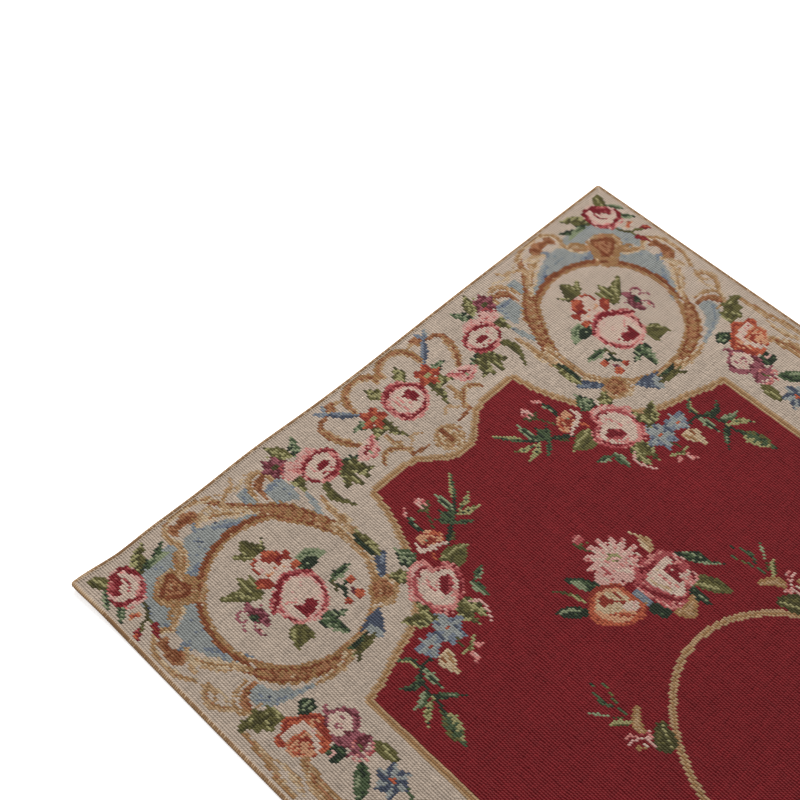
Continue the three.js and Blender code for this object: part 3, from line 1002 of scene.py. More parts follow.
petals(garland, (
    (0, "edge", ((118, 62.4), (116, 59.8), (114.2, 61), (113.6, 63.4), (115, 65.4), (117, 64.6))),
    (0.6, "warm", ((116.6, 60.4), (114.8, 62.4), (114.4, 64.6))),
    (0.5, "petal", ((117.6, 62.6), (116, 64))),
    (0.5, "leaf", ((116, 63.6), (115.4, 65))),
    (0.8, "edge", ((109.6, 60.2), (108.2, 61.8), (107.8, 63.8))),
    (0.4, "warm", ((109.2, 61), (108, 63))),
), dict(PINK_ROSE, leaf="moss"))
stroke(garland, [(108.4, 65), (107.4, 69.4)], [0.4, 0.4], [(1, "mint")])
patch(garland, [(116, 87.6), (112, 85), (108, 83.2), (104, 84.4), (103, 88), (106, 91.8), (110, 92),
                (113, 90.2)], "olive")
stroke(garland, [(115.6, 87.6), (111, 86.4), (107.6, 86.2), (103.6, 84.6)], [0.5, 0.6, 0.6],
       [(1, "sage")], teeth=0.4, tooth=2)
stroke(garland, [(112, 89.6), (108, 88.6), (104.6, 88.6)], [0.6, 0.9, 0.6], [(1, "moss")], teeth=0.5,
       tooth=1.8)
stroke(garland, [(98, 104.6), (101.4, 108), (100.6, 112), (98.8, 116)], [0.6, 0.6, 0.5], [(1, "blush")])
petals(garland, (
    (0, "warm", ((112.2, 79), (111, 75.6), (108.6, 72.6), (106, 72.2), (103.4, 73), (103, 76.4),
                 (106, 79.6), (110, 81))),
    (0.7, "petal", ((111.4, 79), (109.6, 75.6), (106.6, 73.6))),
    (0.6, "petal", ((104, 73.4), (104.2, 76), (106.6, 78))),
    (0, "deep", ((108.8, 77.6), (107.4, 75.8), (105.4, 76.4), (105.8, 78.6), (107.6, 79))),
    (1.2, "body", ((101.8, 74.4), (100.7, 77), (103, 79.2), (107, 80.2), (110.6, 81.8))),
    (0.8, "petal", ((103.4, 81), (102.6, 84))),
    (0.5, "gap", ((111.6, 76.4), (109, 76.8))),
    (0.5, "gap", ((106.4, 72), (107, 74.4))),
    (0.5, "gap", ((103, 76.4), (105, 77.6))),
    (0.4, "gap", ((109.4, 81.6), (108, 79.4))),
), dict(ORANGE_ROSE, gap="wine"))
dot(garland, 105.4, 76, 0.8, "mint")
petals(garland, GARLAND_ROSE, PINK_ROSE)
# blue flowers, small leaves and a trailing sprig on the medallion's other side
patch(garland, [(91.8, 106.4), (88, 104.4), (86.6, 100.2), (83, 100.6), (81, 104), (77.6, 103.8),
                (75, 105), (70.6, 104.8), (71.4, 109), (73.4, 112.8), (76, 111.2), (78.6, 109),
                (80.4, 110.2), (82, 114), (84.6, 111.2), (87.2, 114.4), (88.6, 110.4), (92, 108)], "blue")
for x, y, size, turn in ((85, 107.2, 5.6, 0.2), (75.4, 107.8, 4.8, 0.8), (84.6, 102.6, 2.8, 0.5)):
    daisy(garland, x, y, size, 5, "sky", "sky", "sky", turn=turn, slim=0.2, eye_size=0.16)
petals(garland, (
    (0.6, "indigo", ((81, 104.6), (80.6, 107), (80.4, 109))),
    (0.5, "indigo", ((88.6, 106), (86.6, 109.6))),
    (0.4, "indigo", ((84, 101), (83.6, 104.6))),
    (0.4, "wine", ((90.4, 104.4), (88.8, 105))),
    (0.4, "wine", ((86, 113.6), (85.8, 112))),
    (0.4, "wine", ((78.8, 111.6), (78.4, 110))),
), PLAIN)
dot(garland, 85, 107.2, 1.0, "orange")
dot(garland, 75.4, 108, 1.0, "orange")
for base, tip, width, yarns, bend in (
    ((84.6, 101), (74.6, 93.8), 3.8, ("sage", "moss", "olive"), 0.0),
    ((83, 100), (84.4, 91.6), 2.8, ("olive", "sage", "moss"), 0.0),
    ((66.6, 111.8), (61.6, 103.4), 1.4, FERN, 0.2),
    ((65.6, 112.4), (55, 112), 1.7, ("pine", "pine", "green"), -0.28),
    ((67, 112.6), (66.4, 122), 1.8, ("mint", "pine", "mint"), 0.0),
    ((62.4, 118.4), (52.8, 121.4), 1.7, ("green", "mint", "mint"), -0.1),
    ((62, 122), (70.4, 129.8), 1.4, ("green", "mint", "pine"), 0.0),
    ((61.6, 122.4), (52.6, 129), 1.6, ("sage", "green", "sage"), 0.1),
    ((60, 129), (56.6, 142.6), 4.0, ("sage", "green", "olive"), 0.0),
):
    leaf(garland, base, tip, width, yarns, bend=bend, teeth=0.15 if width < 2.5 else 0.3)
stroke(garland, [(72, 111.4), (67, 111.6), (64, 114.6), (62, 119), (62, 124), (59.8, 130)], [0.6, 0.5],
       [(1, "pine")])
petals(garland, (
    (0, "cream", ((79.4, 113), (76, 112.4), (72.4, 114.6), (73, 118.6), (75, 123), (76.4, 120),
                  (78.4, 117))),
    (0.8, "gold", ((78, 113.6), (76.6, 116), (76, 119.4))),
    (0.4, "cream", ((75, 120), (75, 123.6))),
    (0.6, "brown", ((74.6, 113.6), (74, 116.6))),
    (0.6, "moss", ((84.6, 112), (83.6, 116))),
    (1.1, "sage", ((89, 116), (86.4, 117.8), (81.6, 118.2))),
    (0.5, "olive", ((86.6, 117), (84, 119))),
    (1.2, "pink", ((87.2, 118.6), (89.4, 120.4))),
    (1.4, "pink", ((84, 120.4), (82.8, 123.8))),
    (0.6, "blush", ((84.4, 121), (83.8, 123))),
), PLAIN)

# The flowers on each long side, beside the medallion
long_side = blank_quarter()
LONG_ROSE = (
    (0, "petal", ((29.4, 99.4), (26, 96.4), (22.4, 94), (18.2, 91), (15, 94), (10.4, 95.4), (10.8, 99.4),
                  (12.6, 100.6), (11.2, 104), (15, 108), (19, 110), (24.4, 109.4), (26.4, 104),
                  (29, 101.4))),
    (0, "warm", ((27.6, 99.6), (25, 98.4), (22.8, 101), (23.4, 105), (25.6, 103))),
    (1.0, "deep", ((28.4, 99.6), (25.8, 98), (23.4, 96))),
    (0.8, "deep", ((27.4, 101.4), (26.2, 104), (25.6, 107.6))),
    (0.5, "pit", ((26, 99.8), (25, 103.4))),
    (0.8, "deep", ((22.8, 95.6), (20.4, 93.8), (18, 93), (16.6, 95.4))),
    (0.8, "deep", ((15, 95.4), (12.4, 96), (11.6, 98.4))),
    (0.9, "deep", ((26, 99.6), (24.6, 103), (24.2, 108))),
    (0, "warm", ((21.4, 99), (13, 99), (11, 101.6), (11.4, 104.6), (15, 107.8), (19.4, 108.6),
                 (21.4, 104))),
    (0, "body", ((22.6, 96.4), (18, 95.8), (13.4, 96), (13.2, 98), (17, 98.6), (21, 99.4))),
    (1.4, "body", ((22.4, 97.4), (22, 102), (20.2, 106.4), (18.8, 108.6))),
    (0.7, "petal", ((20.6, 100.4), (16.4, 99.6), (12.4, 100.8))),
    (0.8, "deep", ((19.6, 105), (19, 102.4), (16.8, 101.8), (15.4, 103.4))),
    (0.5, "petal", ((15, 101.4), (12.6, 103.4), (15.4, 106.6))),
    (0.5, "deep", ((17, 105.6), (18.6, 107.4))),
)
MAUVE_BLOOM = (
    (0.9, "light", ((33, 97.4), (31.6, 98.6), (30, 100.4))),
    (0.8, "dark", ((31, 99.6), (32.6, 101.4), (29.4, 101.4))),
    (0, "light", ((36.6, 103), (31, 100.6), (27, 102.6), (24.6, 106), (25, 112), (28, 114.4),
                  (33.6, 113.4), (37.6, 110), (38.6, 106.4))),
    (0, "pale", ((35, 103.4), (31, 101.6), (28, 103.6), (26.2, 106.6), (28, 109.6), (31, 111.4),
                 (34.4, 110), (36.2, 107))),
    (0.8, "dark", ((29.4, 101.4), (27.6, 103), (25.8, 105.4), (25.4, 108.4))),
    (0.9, "dark", ((36.8, 104.4), (36, 107))),
    (0.8, "dark", ((32.6, 112), (30.8, 110.6), (30, 112.4))),
    (0.6, "dark", ((27.4, 110), (26, 113), (27.6, 115.4))),
    (0.5, "light", ((31, 105.4), (29.6, 106.4), (30.4, 108))),
    (0.4, "light", ((33.4, 105), (34, 107.6))),
    (0, "light", ((35, 115), (31.6, 112.8), (28.2, 114.6), (26, 117.6), (28, 121), (32, 122.2),
                  (35.4, 119))),
    (0.6, "pale", ((34, 118.6), (31.6, 120.2), (29.4, 119.8))),
    (0.5, "rosy", ((33, 114.6), (30, 115), (28, 117))),
    (1.3, "dark", ((35, 116.6), (32.4, 115.6), (31.6, 117.4))),
    (0.6, "light", ((36, 118), (33.4, 118.4), (31, 119.4), (30.6, 122))),
    (0.9, "light", ((28.6, 116.6), (26.4, 117), (23.8, 117.4))),
    (0.6, "rosy", ((28, 119), (25.4, 119.6), (26.4, 121.6))),
    (0.6, "rosy", ((34.6, 120), (32, 121.6), (29.4, 121.4), (28, 123.4))),
    (0.8, "eye", ((31, 116.8), (30, 118.8), (28.8, 120))),
)
petals(long_side, (
    (0, "olive", ((19.4, 87.4), (17.6, 84), (15.4, 84.6), (13.4, 81.6), (10.4, 83), (7.2, 81.8),
                  (4, 84.6), (7.8, 86.4), (8.4, 89), (11, 89.4), (12, 92.4), (16, 91.4), (18.6, 91.4))),
    (0.8, "sage", ((18.6, 86.4), (17.8, 89), (18, 91))),
    (0.6, "sage", ((15.6, 85.4), (13.6, 88), (12.4, 91.4))),
    (1.0, "moss", ((16.6, 87.6), (11.6, 86.4), (5.4, 84.6))),
    (0.8, "moss", ((14.6, 83.6), (12, 84.8))),
    (0.8, "moss", ((16.6, 90.4), (13, 89.4))),
    (0.4, "sage", ((10.6, 84), (8.6, 83.4))),
    (0, "pine", ((31, 93), (28.6, 90.6), (25, 91.6), (23.4, 94.6), (26, 96.6), (29.4, 96.6))),
    (0.6, "mint", ((30.4, 92.6), (27.6, 93), (25, 94))),
    (0.5, "mint", ((29, 95.6), (27, 95))),
    (0, "pine", ((26, 111.4), (23, 110), (20.4, 111), (19.4, 115.6), (23.6, 116.6), (25.8, 114.6))),
    (0.9, "blush", ((23, 112.4), (20.6, 113.4))),
    (0.6, "green", ((25, 112.6), (24.4, 115))),
    (0, "olive", ((38.4, 123.6), (35.4, 119.6), (33, 122.6), (33.4, 127.4), (36, 130.4), (37.8, 127.4))),
    (0.8, "sage", ((36.6, 122.6), (35.6, 126.6), (36, 129.6))),
    (0, "green", ((27.4, 121), (24, 122), (19, 125.6), (16, 131), (21, 131), (25, 128.4), (26.8, 125))),
    (0.9, "pine", ((26.6, 121.6), (24.6, 125), (23.6, 129))),
    (0.6, "mint", ((24, 123), (20, 127), (17, 130.6))),
), PLAIN)
daisy(long_side, 29.6, 134, 6.2, 6, "sky", "indigo", "orange", turn=0.4, slim=0.36, eye_size=0.18)
petals(long_side, MAUVE_BLOOM, {"light": "mauve", "dark": "plum", "pale": "ivory", "rosy": "pink",
                                "eye": "olive"})
petals(long_side, LONG_ROSE, ORANGE_ROSE)

# A spray of small flowers on each side of the middle
spray = blank_quarter()
petals(spray, (
    (0.6, "green", ((109, 160.4), (107.6, 165), (106, 169.4), (105.6, 174))),
    (0.5, "olive", ((108.6, 162.4), (106.6, 168))),
    (1.0, "green", ((103.4, 161.2), (103, 165), (104.2, 168.6))),
    (0.5, "pine", ((103.6, 165.4), (105.2, 170.4))),
    (0.6, "pine", ((106.2, 157.8), (104.2, 159.8))),
    (0.7, "mint", ((96, 164.6), (98.6, 168), (100.8, 170.6))),
    (0.5, "moss", ((100.4, 170.4), (103, 173.6), (105.6, 175.4))),
    (1.0, "sage", ((98, 172.6), (101.4, 174.4), (104.6, 177.2))),
    (0.5, "moss", ((99, 173.8), (103.6, 177.4))),
    (0, "gold", ((111.4, 175), (107.4, 175.2), (103.4, 178.4), (103.4, 182.4), (105.6, 183),
                 (107.4, 180))),
    (0.7, "tan", ((109.8, 175.8), (106, 178.6), (104.6, 182))),
    (0, "moss", ((113.4, 185), (110.4, 184), (106, 186.2), (103.4, 190), (105, 194), (110.6, 193.6),
                 (112, 189))),
    (0.7, "sage", ((112, 185.4), (109.6, 189), (107.6, 193))),
    (0.6, "olive", ((108.8, 186), (106, 190.4))),
    (0.7, "pink", ((101.8, 182.2), (99.8, 180), (97.4, 180.6))),
    (0.6, "blush", ((101.6, 183.4), (99, 181.8), (97.2, 182.4))),
    (1.1, "blush", ((106, 183.8), (104, 185.6), (103.4, 188.8))),
    (0.6, "pink", ((106.2, 183.4), (105, 186.4))),
    (0.8, "ivory", ((102.8, 184.2), (101, 187.8))),
    (0.5, "rose", ((103.4, 183), (102.2, 186))),
    (0.8, "gold", ((100.8, 187.4), (98, 184.6))),
), PLAIN)

# The bouquet above the middle of the rug, with one large pale flower between two roses
CENTRE_ROSE = (
    (0, "petal", ((143.4, 142), (139.4, 138.6), (136.6, 138.2), (132, 139.2), (127.2, 139.2),
                  (125.2, 141.4), (123, 144.8), (122.6, 149.4), (123.8, 153.4), (124, 157.4),
                  (128.6, 158.2), (132, 158.8), (135.4, 161.2), (138.8, 161.4), (142, 160), (144, 156),
                  (144.4, 152), (145, 146.6), (145.4, 143.4))),
    (0.8, "edge", ((144.8, 144.6), (144, 149), (143.4, 153), (142.4, 157))),
    (0.8, "edge", ((142.6, 158.4), (139.6, 160.6), (136, 160.6))),
    (0.9, "edge", ((137.6, 139.4), (133.6, 140.2), (129.4, 139.8), (126, 141.6))),
    (0.9, "deep", ((142.8, 146), (142, 150), (140, 154.4), (138, 158), (135.6, 159.8))),
    (1.0, "deep", ((139.6, 142), (137.4, 141), (135, 142.6), (131, 141.6))),
    (0, "body", ((140.4, 146.8), (139, 144.4), (134.8, 143.2), (128.8, 143.4), (126.4, 145), (127, 148),
                 (126.6, 152), (124.4, 153.6), (127.2, 155.4), (131.4, 156.6), (135.2, 158.8),
                 (137.4, 155.2), (139, 151.4))),
    (0.9, "edge", ((127, 143.6), (125, 146.4), (124, 150))),
    (0.5, "deep", ((126, 144.2), (124.8, 148))),
    (0.6, "warm", ((123.4, 145), (122.6, 149))),
    (0, "heart", ((131.4, 146.6), (128, 147.2), (126.6, 150), (127.2, 152), (129.4, 152), (130, 154.6),
                  (131.8, 154), (132.4, 151.2), (132, 148.2))),
    (0, "coral", ((129.4, 155.6), (127, 154.4), (124.4, 154.8), (124, 157.4), (127, 158.4), (130, 158))),
    (0.6, "edge", ((126.6, 153), (128.6, 153.6), (130.6, 156))),
    (0.5, "body", ((130.6, 148.6), (128.4, 149.6))),
    (0.6, "deep", ((132.8, 157.4), (130.6, 158.4))),
    (0.6, "cream", ((138.6, 146), (137.8, 150), (136, 155))),
    (0.5, "cream", ((136, 144.6), (132, 144.6))),
    (0.5, "coral", ((134.6, 147), (134.2, 151), (133.4, 155))),
)
CENTRE_ORANGE = (
    (0, "petal", ((166.4, 139), (163.2, 136.2), (160, 134.2), (156, 133.8), (152, 136.2), (148.8, 138),
                  (148, 141.4), (148.4, 145.4), (147.8, 149.4), (149.4, 153.4), (154, 154), (159, 152.4),
                  (164, 148.4), (167, 143))),
    (0.9, "deep", ((163.6, 137), (160, 134.8), (156.4, 134.6), (152.4, 136.8), (149.4, 138.8),
                   (148.8, 142.6))),
    (0, "warm", ((163.6, 139.4), (160, 136.8), (156, 136), (151.8, 138.2), (149.8, 142), (150, 148),
                 (152, 151.6), (158, 151), (163, 146.4))),
    (0, "cream", ((162.8, 140), (160, 137.8), (155, 137.4), (151.6, 140.4), (150.4, 145), (152.4, 148),
                  (156, 146.6), (160.6, 145))),
    (0, "heart", ((159.8, 138.6), (156.8, 137.4), (155.4, 140.6), (154.4, 143.6), (157.2, 141.6),
                  (159.4, 141.4))),
    (0.6, "deep", ((153, 139.4), (152.4, 142), (153.4, 144.6), (151.2, 145.4))),
    (0, "body", ((154.8, 145.4), (152, 146), (149.4, 147.4), (150, 150.6), (153, 150), (154.8, 148.4))),
    (0.7, "petal", ((161.4, 144.4), (158, 146.6), (155.6, 150))),
    (0.5, "deep", ((150, 151), (153.6, 151.4), (157, 149.4))),
)
centre = np.full(chart.shape, BLANK)
petals(centre, (
    (0.8, "moss", ((147.4, 116), (147, 119), (145.6, 122.6))),
    (0.5, "olive", ((147.6, 117.6), (143.4, 119))),
    (0, "pine", ((162, 123), (158.4, 125.6), (154.6, 131), (153.6, 136), (158, 133.6), (161, 128.6))),
    (0, "mint", ((161.4, 125.6), (160.8, 130), (158.6, 132.6), (157.6, 129.4), (159.6, 126.4))),
    (0.7, "green", ((158.4, 127), (155.6, 133))),
    (0.6, "moss", ((169, 123.4), (166, 127), (164, 131), (162.6, 136.6))),
    (0.8, "sage", ((164.6, 130), (163.2, 135))),
    (0, "pine", ((175, 130), (170, 131.4), (166, 135), (165, 140), (169.6, 138), (173, 135))),
    (0.7, "mint", ((173.6, 131.6), (169.4, 133.4), (167, 137))),
    (0, "tan", ((128.4, 127.6), (126.6, 130), (125.4, 133), (125.6, 135.8), (128, 138.8), (129.8, 138),
                (129.6, 134), (128.2, 131))),
    (0.7, "cream", ((128.4, 131.4), (129, 135), (129.2, 138))),
    (0.5, "gold", ((126.8, 131), (126.6, 134), (127.6, 137))),
    (0.5, "cream", ((128.6, 127), (127.4, 129.4))),
    (0, "pine", ((122.8, 144.6), (120.4, 146.4), (117.2, 149.4), (115.8, 152.4), (116.2, 155.6),
                 (113, 161.2), (117.4, 157.6), (119.6, 154.6), (121.6, 151.2), (122.6, 148))),
    (0.6, "mint", ((121.4, 146.4), (118.6, 150), (116.8, 154))),
    (0.5, "mint", ((120.6, 151.6), (118, 156), (114.4, 160.4))),
    (0.5, "green", ((119.8, 148.4), (118.8, 152.6))),
    (0, "olive", ((129, 157), (124.4, 157.4), (121, 161), (119.6, 166.6), (120.8, 171), (124, 168),
                  (127.4, 163))),
    (0.8, "sage", ((127.4, 158.4), (125, 163), (122.6, 167.4))),
    (0.7, "moss", ((124.6, 158.4), (121.8, 162.4), (120.6, 167.6))),
    (0, "pine", ((132.6, 158.6), (129.6, 158.6), (128.6, 163), (130.4, 168.6), (132.6, 164))),
    (0.6, "mint", ((131, 161), (130.6, 166))),
    (0, "pine", ((149, 153.4), (145.4, 152.6), (143.2, 156), (143.6, 160.4), (147.6, 159.4))),
    (0, "gold", ((143.6, 160.4), (138, 160.6), (131.6, 161), (135.6, 166), (139.4, 167.4), (142, 164.4))),
    (0.7, "tan", ((141.4, 162), (137, 163.4), (134, 162.4))),
    (0, "blue", ((148, 144.4), (145.6, 144.6), (144.8, 148), (145.2, 152), (148.6, 152.6), (148, 148.6))),
    (0.6, "sky", ((146.8, 145.4), (146, 149), (146.8, 151.6))),
    (0.4, "gold", ((148, 150), (146.6, 152.8))),
), PLAIN)
dot(centre, 145, 115.8, 2.1, "rose")
dot(centre, 144.6, 115.2, 1.2, "pink")
# the pale flower
daisy(centre, 142.4, 131, 10.2, 13, "pink", "blush", "blush", turn=0.1, slim=0.15, eye_size=0.64)
daisy(centre, 142.4, 131, 8.2, 13, "ivory", "blush", "blush", turn=0.1, slim=0.11, eye_size=0.34)
petals(centre, (
    (0, "pale", ((153.8, 133), (151.6, 129.6), (147.6, 129), (145, 132), (138, 132), (136.4, 137),
                 (139.4, 141), (144, 141.6), (148.6, 138), (152.6, 137))),
    (0.6, "white", ((152, 132), (150.4, 135), (148.6, 136.6))),
    (0.7, "white", ((145, 134), (142.4, 137), (140.6, 140))),
    (0.6, "white", ((138, 134), (138.8, 138))),
    (0.8, "dark", ((147.6, 130), (148, 133.4), (146.8, 134.6))),
    (0.5, "dark", ((149.4, 130.6), (146.4, 130.4))),
    (0.5, "dark", ((150, 135.4), (148.4, 136))),
    (0.7, "eye", ((144, 131.4), (143.8, 129.2), (141.8, 128.6), (140, 130), (139.6, 132.4))),
    (0.4, "eye", ((142.6, 131), (141.2, 132))),
    (0.5, "dark", ((136.8, 133.4), (135, 136), (134, 138.6))),
    (0.5, "white", ((135.6, 132), (133.4, 135.6), (133.2, 138))),
), {"pale": "blush", "white": "ivory", "dark": "rose", "eye": "sage"})
petals(centre, CENTRE_ORANGE, dict(ORANGE_ROSE, cream="cream"))
petals(centre, CENTRE_ROSE, dict(PINK_ROSE, coral="pink", cream="cream"))
centre = np.where(centre == BLANK, centre[::-1], centre)

# The middle of the long side repeats the short side's roses, turned
ROSES_REACH = 62
own_quarter = lone_rose[:HALF_ALONG, :HALF_ACROSS]
roses = np.where(middle_rose == BLANK, short_side, middle_rose)
roses = np.where(own_quarter == BLANK, roses, own_quarter)
long_side[HALF_ALONG - ROSES_REACH:, :ROSES_REACH] = roses[:ROSES_REACH, HALF_ACROSS - ROSES_REACH:].T

flowers = np.zeros(chart.shape, bool)
for motif in (bouquet, corner, lone_rose, short_side, middle_rose, garland, long_side, spray, centre):
    flowers |= work(motif)
fleck(flowers, FLOWER_SHADES, seed=31)
sew_stitches("flower_stitches", flowers, seed=3)


# Scrolls and medallions
# Golden scrolls, acanthus leaves and shells frame a round medallion in each quarter and a
# cartouche on each side. They are worked in gold, tan, cream and brown, on patches of blue.

GOLD_RIM = ((-0.3, "gold"), (1, "tan"))
GOLD_EDGE = ((-0.45, "cream"), (0.25, "gold"), (1, "tan"))
FEATHER = ((-0.55, "tan"), (-0.1, "cream"), (0.35, "gold"), (1, "cream"))
ACANTHUS = ((-0.82, "gold"), (-0.58, "rust"), (0.44, "chestnut"), (0.72, "rust"), (1, "gold"))
SCROLL_SHADES = (
    ("chestnut", "brown", 0.32), ("chestnut", "gold", 0.14), ("brown", "chestnut", 0.16),
    ("brown", "rust", 0.24), ("rust", "brown", 0.3), ("gold", "tan", 0.16), ("gold", "chestnut", 0.14),
    ("tan", "cream", 0.16), ("tan", "gold", 0.16), ("cream", "tan", 0.14), ("cream", "ground", 0.12),
    ("sky", "blue", 0.04), ("blue", "sky", 0.14), ("blue", "indigo", 0.03),
    ("indigo", "blue", 0.16), ("olive", "moss", 0.16), ("moss", "olive", 0.16), ("sage", "olive", 0.12),
    ("pine", "green", 0.2),
)


def twin(layer, points, widths, bands, **more):
    """A band, and the same one mirrored about the line from the corner through the medallion."""
    stroke(layer, points, widths, bands, **more)
    yarns = [yarn for stop, yarn in bands][::-1]
    stops = [-stop for stop, yarn in bands][:-1][::-1] + [1]
    stroke(layer, [(y, x) for x, y in points], widths, list(zip(stops, yarns)), **more)


def twin_patch(layer, points, yarn):
    """A patch, and the same one mirrored."""
    patch(layer, points, yarn)
    patch(layer, [(y, x) for x, y in points], yarn)


# The blue patches behind the scrolls
scrolls = blank_quarter()
twin_patch(scrolls, [(35, 11), (28, 12.5), (20, 13), (16, 15), (18, 20), (25, 20), (33, 19)], "sky")
twin_patch(scrolls, [(20, 15), (14, 18), (11.5, 23), (10, 31), (12, 37), (17, 35), (19, 27)], "sky")
twin_patch(scrolls, [(68, 22), (61, 19), (54, 15), (46, 13), (37, 14), (32, 24), (30, 29), (40, 25),
                     (54, 22), (64, 25)], "sky")
twin_patch(scrolls, [(49.4, 12.6), (49, 10.2), (46.4, 9), (44.8, 12), (46.6, 13.6)], "blue")
stroke(scrolls, [(35, 17), (31, 21), (33, 26), (37, 24)], [1.0, 1.4, 1.0], [(1, "blue")])
twin(scrolls, [(66, 26), (58, 20.5), (52, 16.5)], [0.9, 1.1, 0.8], [(1, "blue")])
patch(scrolls, [(72, 12), (67.5, 12), (67, 19), (70, 20), (72.5, 16)], "sky")
patch(scrolls, [(84, 15.5), (78, 17), (76, 20), (76, 25), (80, 27), (84.5, 29), (85.5, 22)], "sky")
patch(scrolls, [(15, 82.6), (15.2, 78.4), (18, 75.4), (21.2, 76.4), (22.4, 79.4), (24.4, 82), (28, 84),
                (26.4, 86), (19, 85.4)], "sky")
stroke(scrolls, [(84, 17), (80, 18.5), (77, 18)], [0.9, 1.0, 0.8], [(1, "blue")])
stroke(scrolls, [(87.6, 29), (86.5, 34), (85, 40)], [0.8, 1.5, 1.0], [(1, "sky")])
stroke(
    scrolls, [(16.6, 79.6), (21.2, 84.4), (28.6, 87.6), (37, 90.2)], [1.4, 1.9, 1.2, 0.6],
    [(-0.1, "sky"), (0.4, "blue"), (1, "sky")],
)

# The ring of the medallion
MEDALLION = (54.3, 55.2)


def ring_arc(middle, across, down, first, last, count):
    """Points of an arc about a middle, between two angles."""
    turns = np.linspace(first, last, count)
    return [(middle[0] + across * math.cos(a), middle[1] + down * math.sin(a)) for a in turns]


stroke(scrolls, ring_arc(MEDALLION, 31.4, 31.6, 0, 2 * math.pi, 33), [1.0, 1.0], [(1, "gold")])
stroke(scrolls, ring_arc(MEDALLION, 33.1, 33.3, 2.75, 6.2, 25), [0.7, 1.0, 1.1, 1.1, 1.0, 0.6],
       [(-0.2, "brown"), (1, "rust")])
stroke(scrolls, ring_arc(MEDALLION, 32.8, 32.8, 0.1, 1.5, 11), [0.9, 1.0, 0.9], [(1, "tan")])

# The thick acanthus leaves on its outer left side, and the one on the other side
stroke(
    scrolls, [(57.2, 5), (60.5, 10.5), (64.2, 15.8), (67.6, 20.4), (71.2, 24.6), (75, 29), (79, 35.6),
              (82.4, 43.4), (84.8, 52)],
    [1.2, 1.6, 2.0, 3.0, 4.4, 5.0, 4.0, 3.0, 1.4], ACANTHUS, teeth=0.28, tooth=4.0, vein="gold",
    reach=0.5,
)
stroke(
    scrolls, [(21.6, 68.6), (25.6, 75), (31.4, 81.4), (39.5, 86.2), (47.5, 88.6), (54, 89)],
    [1.4, 3.4, 4.0, 3.5, 2.6, 1.2], ACANTHUS, teeth=0.28, tooth=4.0, vein="gold", reach=0.5,
)
stroke(scrolls, [(85, 47), (85.4, 56), (84.4, 66), (80.5, 75)], [1.6, 2.2, 1.6, 1.2],
       [(-0.3, "cream"), (0.3, "gold"), (1, "tan")])
stroke(scrolls, [(90.5, 34), (89.6, 41), (89.4, 49), (88.6, 58)], [0.8, 2.0, 2.6, 1.2], GOLD_EDGE,
       teeth=0.2, tooth=6)
stroke(scrolls, [(36, 90), (44, 91.5), (52, 90), (58, 88)], [0.8, 1.8, 2.4, 1.0], GOLD_EDGE, teeth=0.3,
       tooth=5)
stroke(scrolls, [(66, 7), (61, 11), (62, 16), (67, 21)], [0.8, 1.2, 1.2, 0.8], [(1, "tan")])

# Feathery leaves inside the two upper scrolls, and the scrolls with their brown curls
twin(scrolls, [(50.5, 10.5), (56, 12.5), (61.5, 16.5), (68, 22.5)], [1.4, 3.0, 3.2, 1.0], FEATHER,
     teeth=0.45, tooth=2.6)
twin(scrolls, [(59, 5.4), (53.4, 2.9), (46.5, 1.9), (40, 3.0), (36.4, 6.4), (36.3, 10.6), (38.6, 13)],
     [1.2, 1.3, 1.2, 1.1, 1.2, 1.4, 1.0], GOLD_EDGE)
twin(scrolls, [(57, 8), (52, 9.4), (48, 11.5)], [1.0, 1.6, 1.0], [(0, "cream"), (1, "tan")])
twin_patch(scrolls, [(52, 6.4), (49, 4.2), (45, 4.0), (42, 5.2), (39, 4.6), (38, 8), (39.6, 10.4),
                     (42, 8.4), (45, 8.6), (48, 10), (50, 8.6)], "chestnut")
twin_patch(scrolls, [(50, 6), (46, 5), (42, 6.2), (39.6, 6.4), (39.4, 8.4), (43, 7.4), (47, 8.2)],
           "brown")
twin(scrolls, [(37.8, 12), (36.6, 16), (33.6, 20.4), (29.5, 23.4)], [1.0, 2.0, 2.2, 1.2], GOLD_EDGE,
     teeth=0.2, tooth=4)
twin(scrolls, [(82, 16), (81.8, 11.5), (78.6, 9), (75, 10), (72.6, 13.6), (71.6, 18.4)],
     [0.8, 1.3, 1.4, 1.3, 1.3, 0.8], GOLD_RIM, teeth=0.3, tooth=2.4)
twin(scrolls, [(79.6, 12.6), (77, 13.2), (75, 16), (74.4, 20.4)], [1.6, 1.8, 1.3, 0.8],
     [(-0.2, "brown"), (1, "chestnut")])
twin(scrolls, [(71, 3.6), (68.4, 7.4), (64, 8), (61.5, 6)], [0.5, 0.9, 0.8, 0.5], [(1, "tan")])
twin(scrolls, [(75.4, 6.6), (71, 9.4), (66.4, 9.2)], [0.5, 0.7, 0.5], [(1, "cream")])

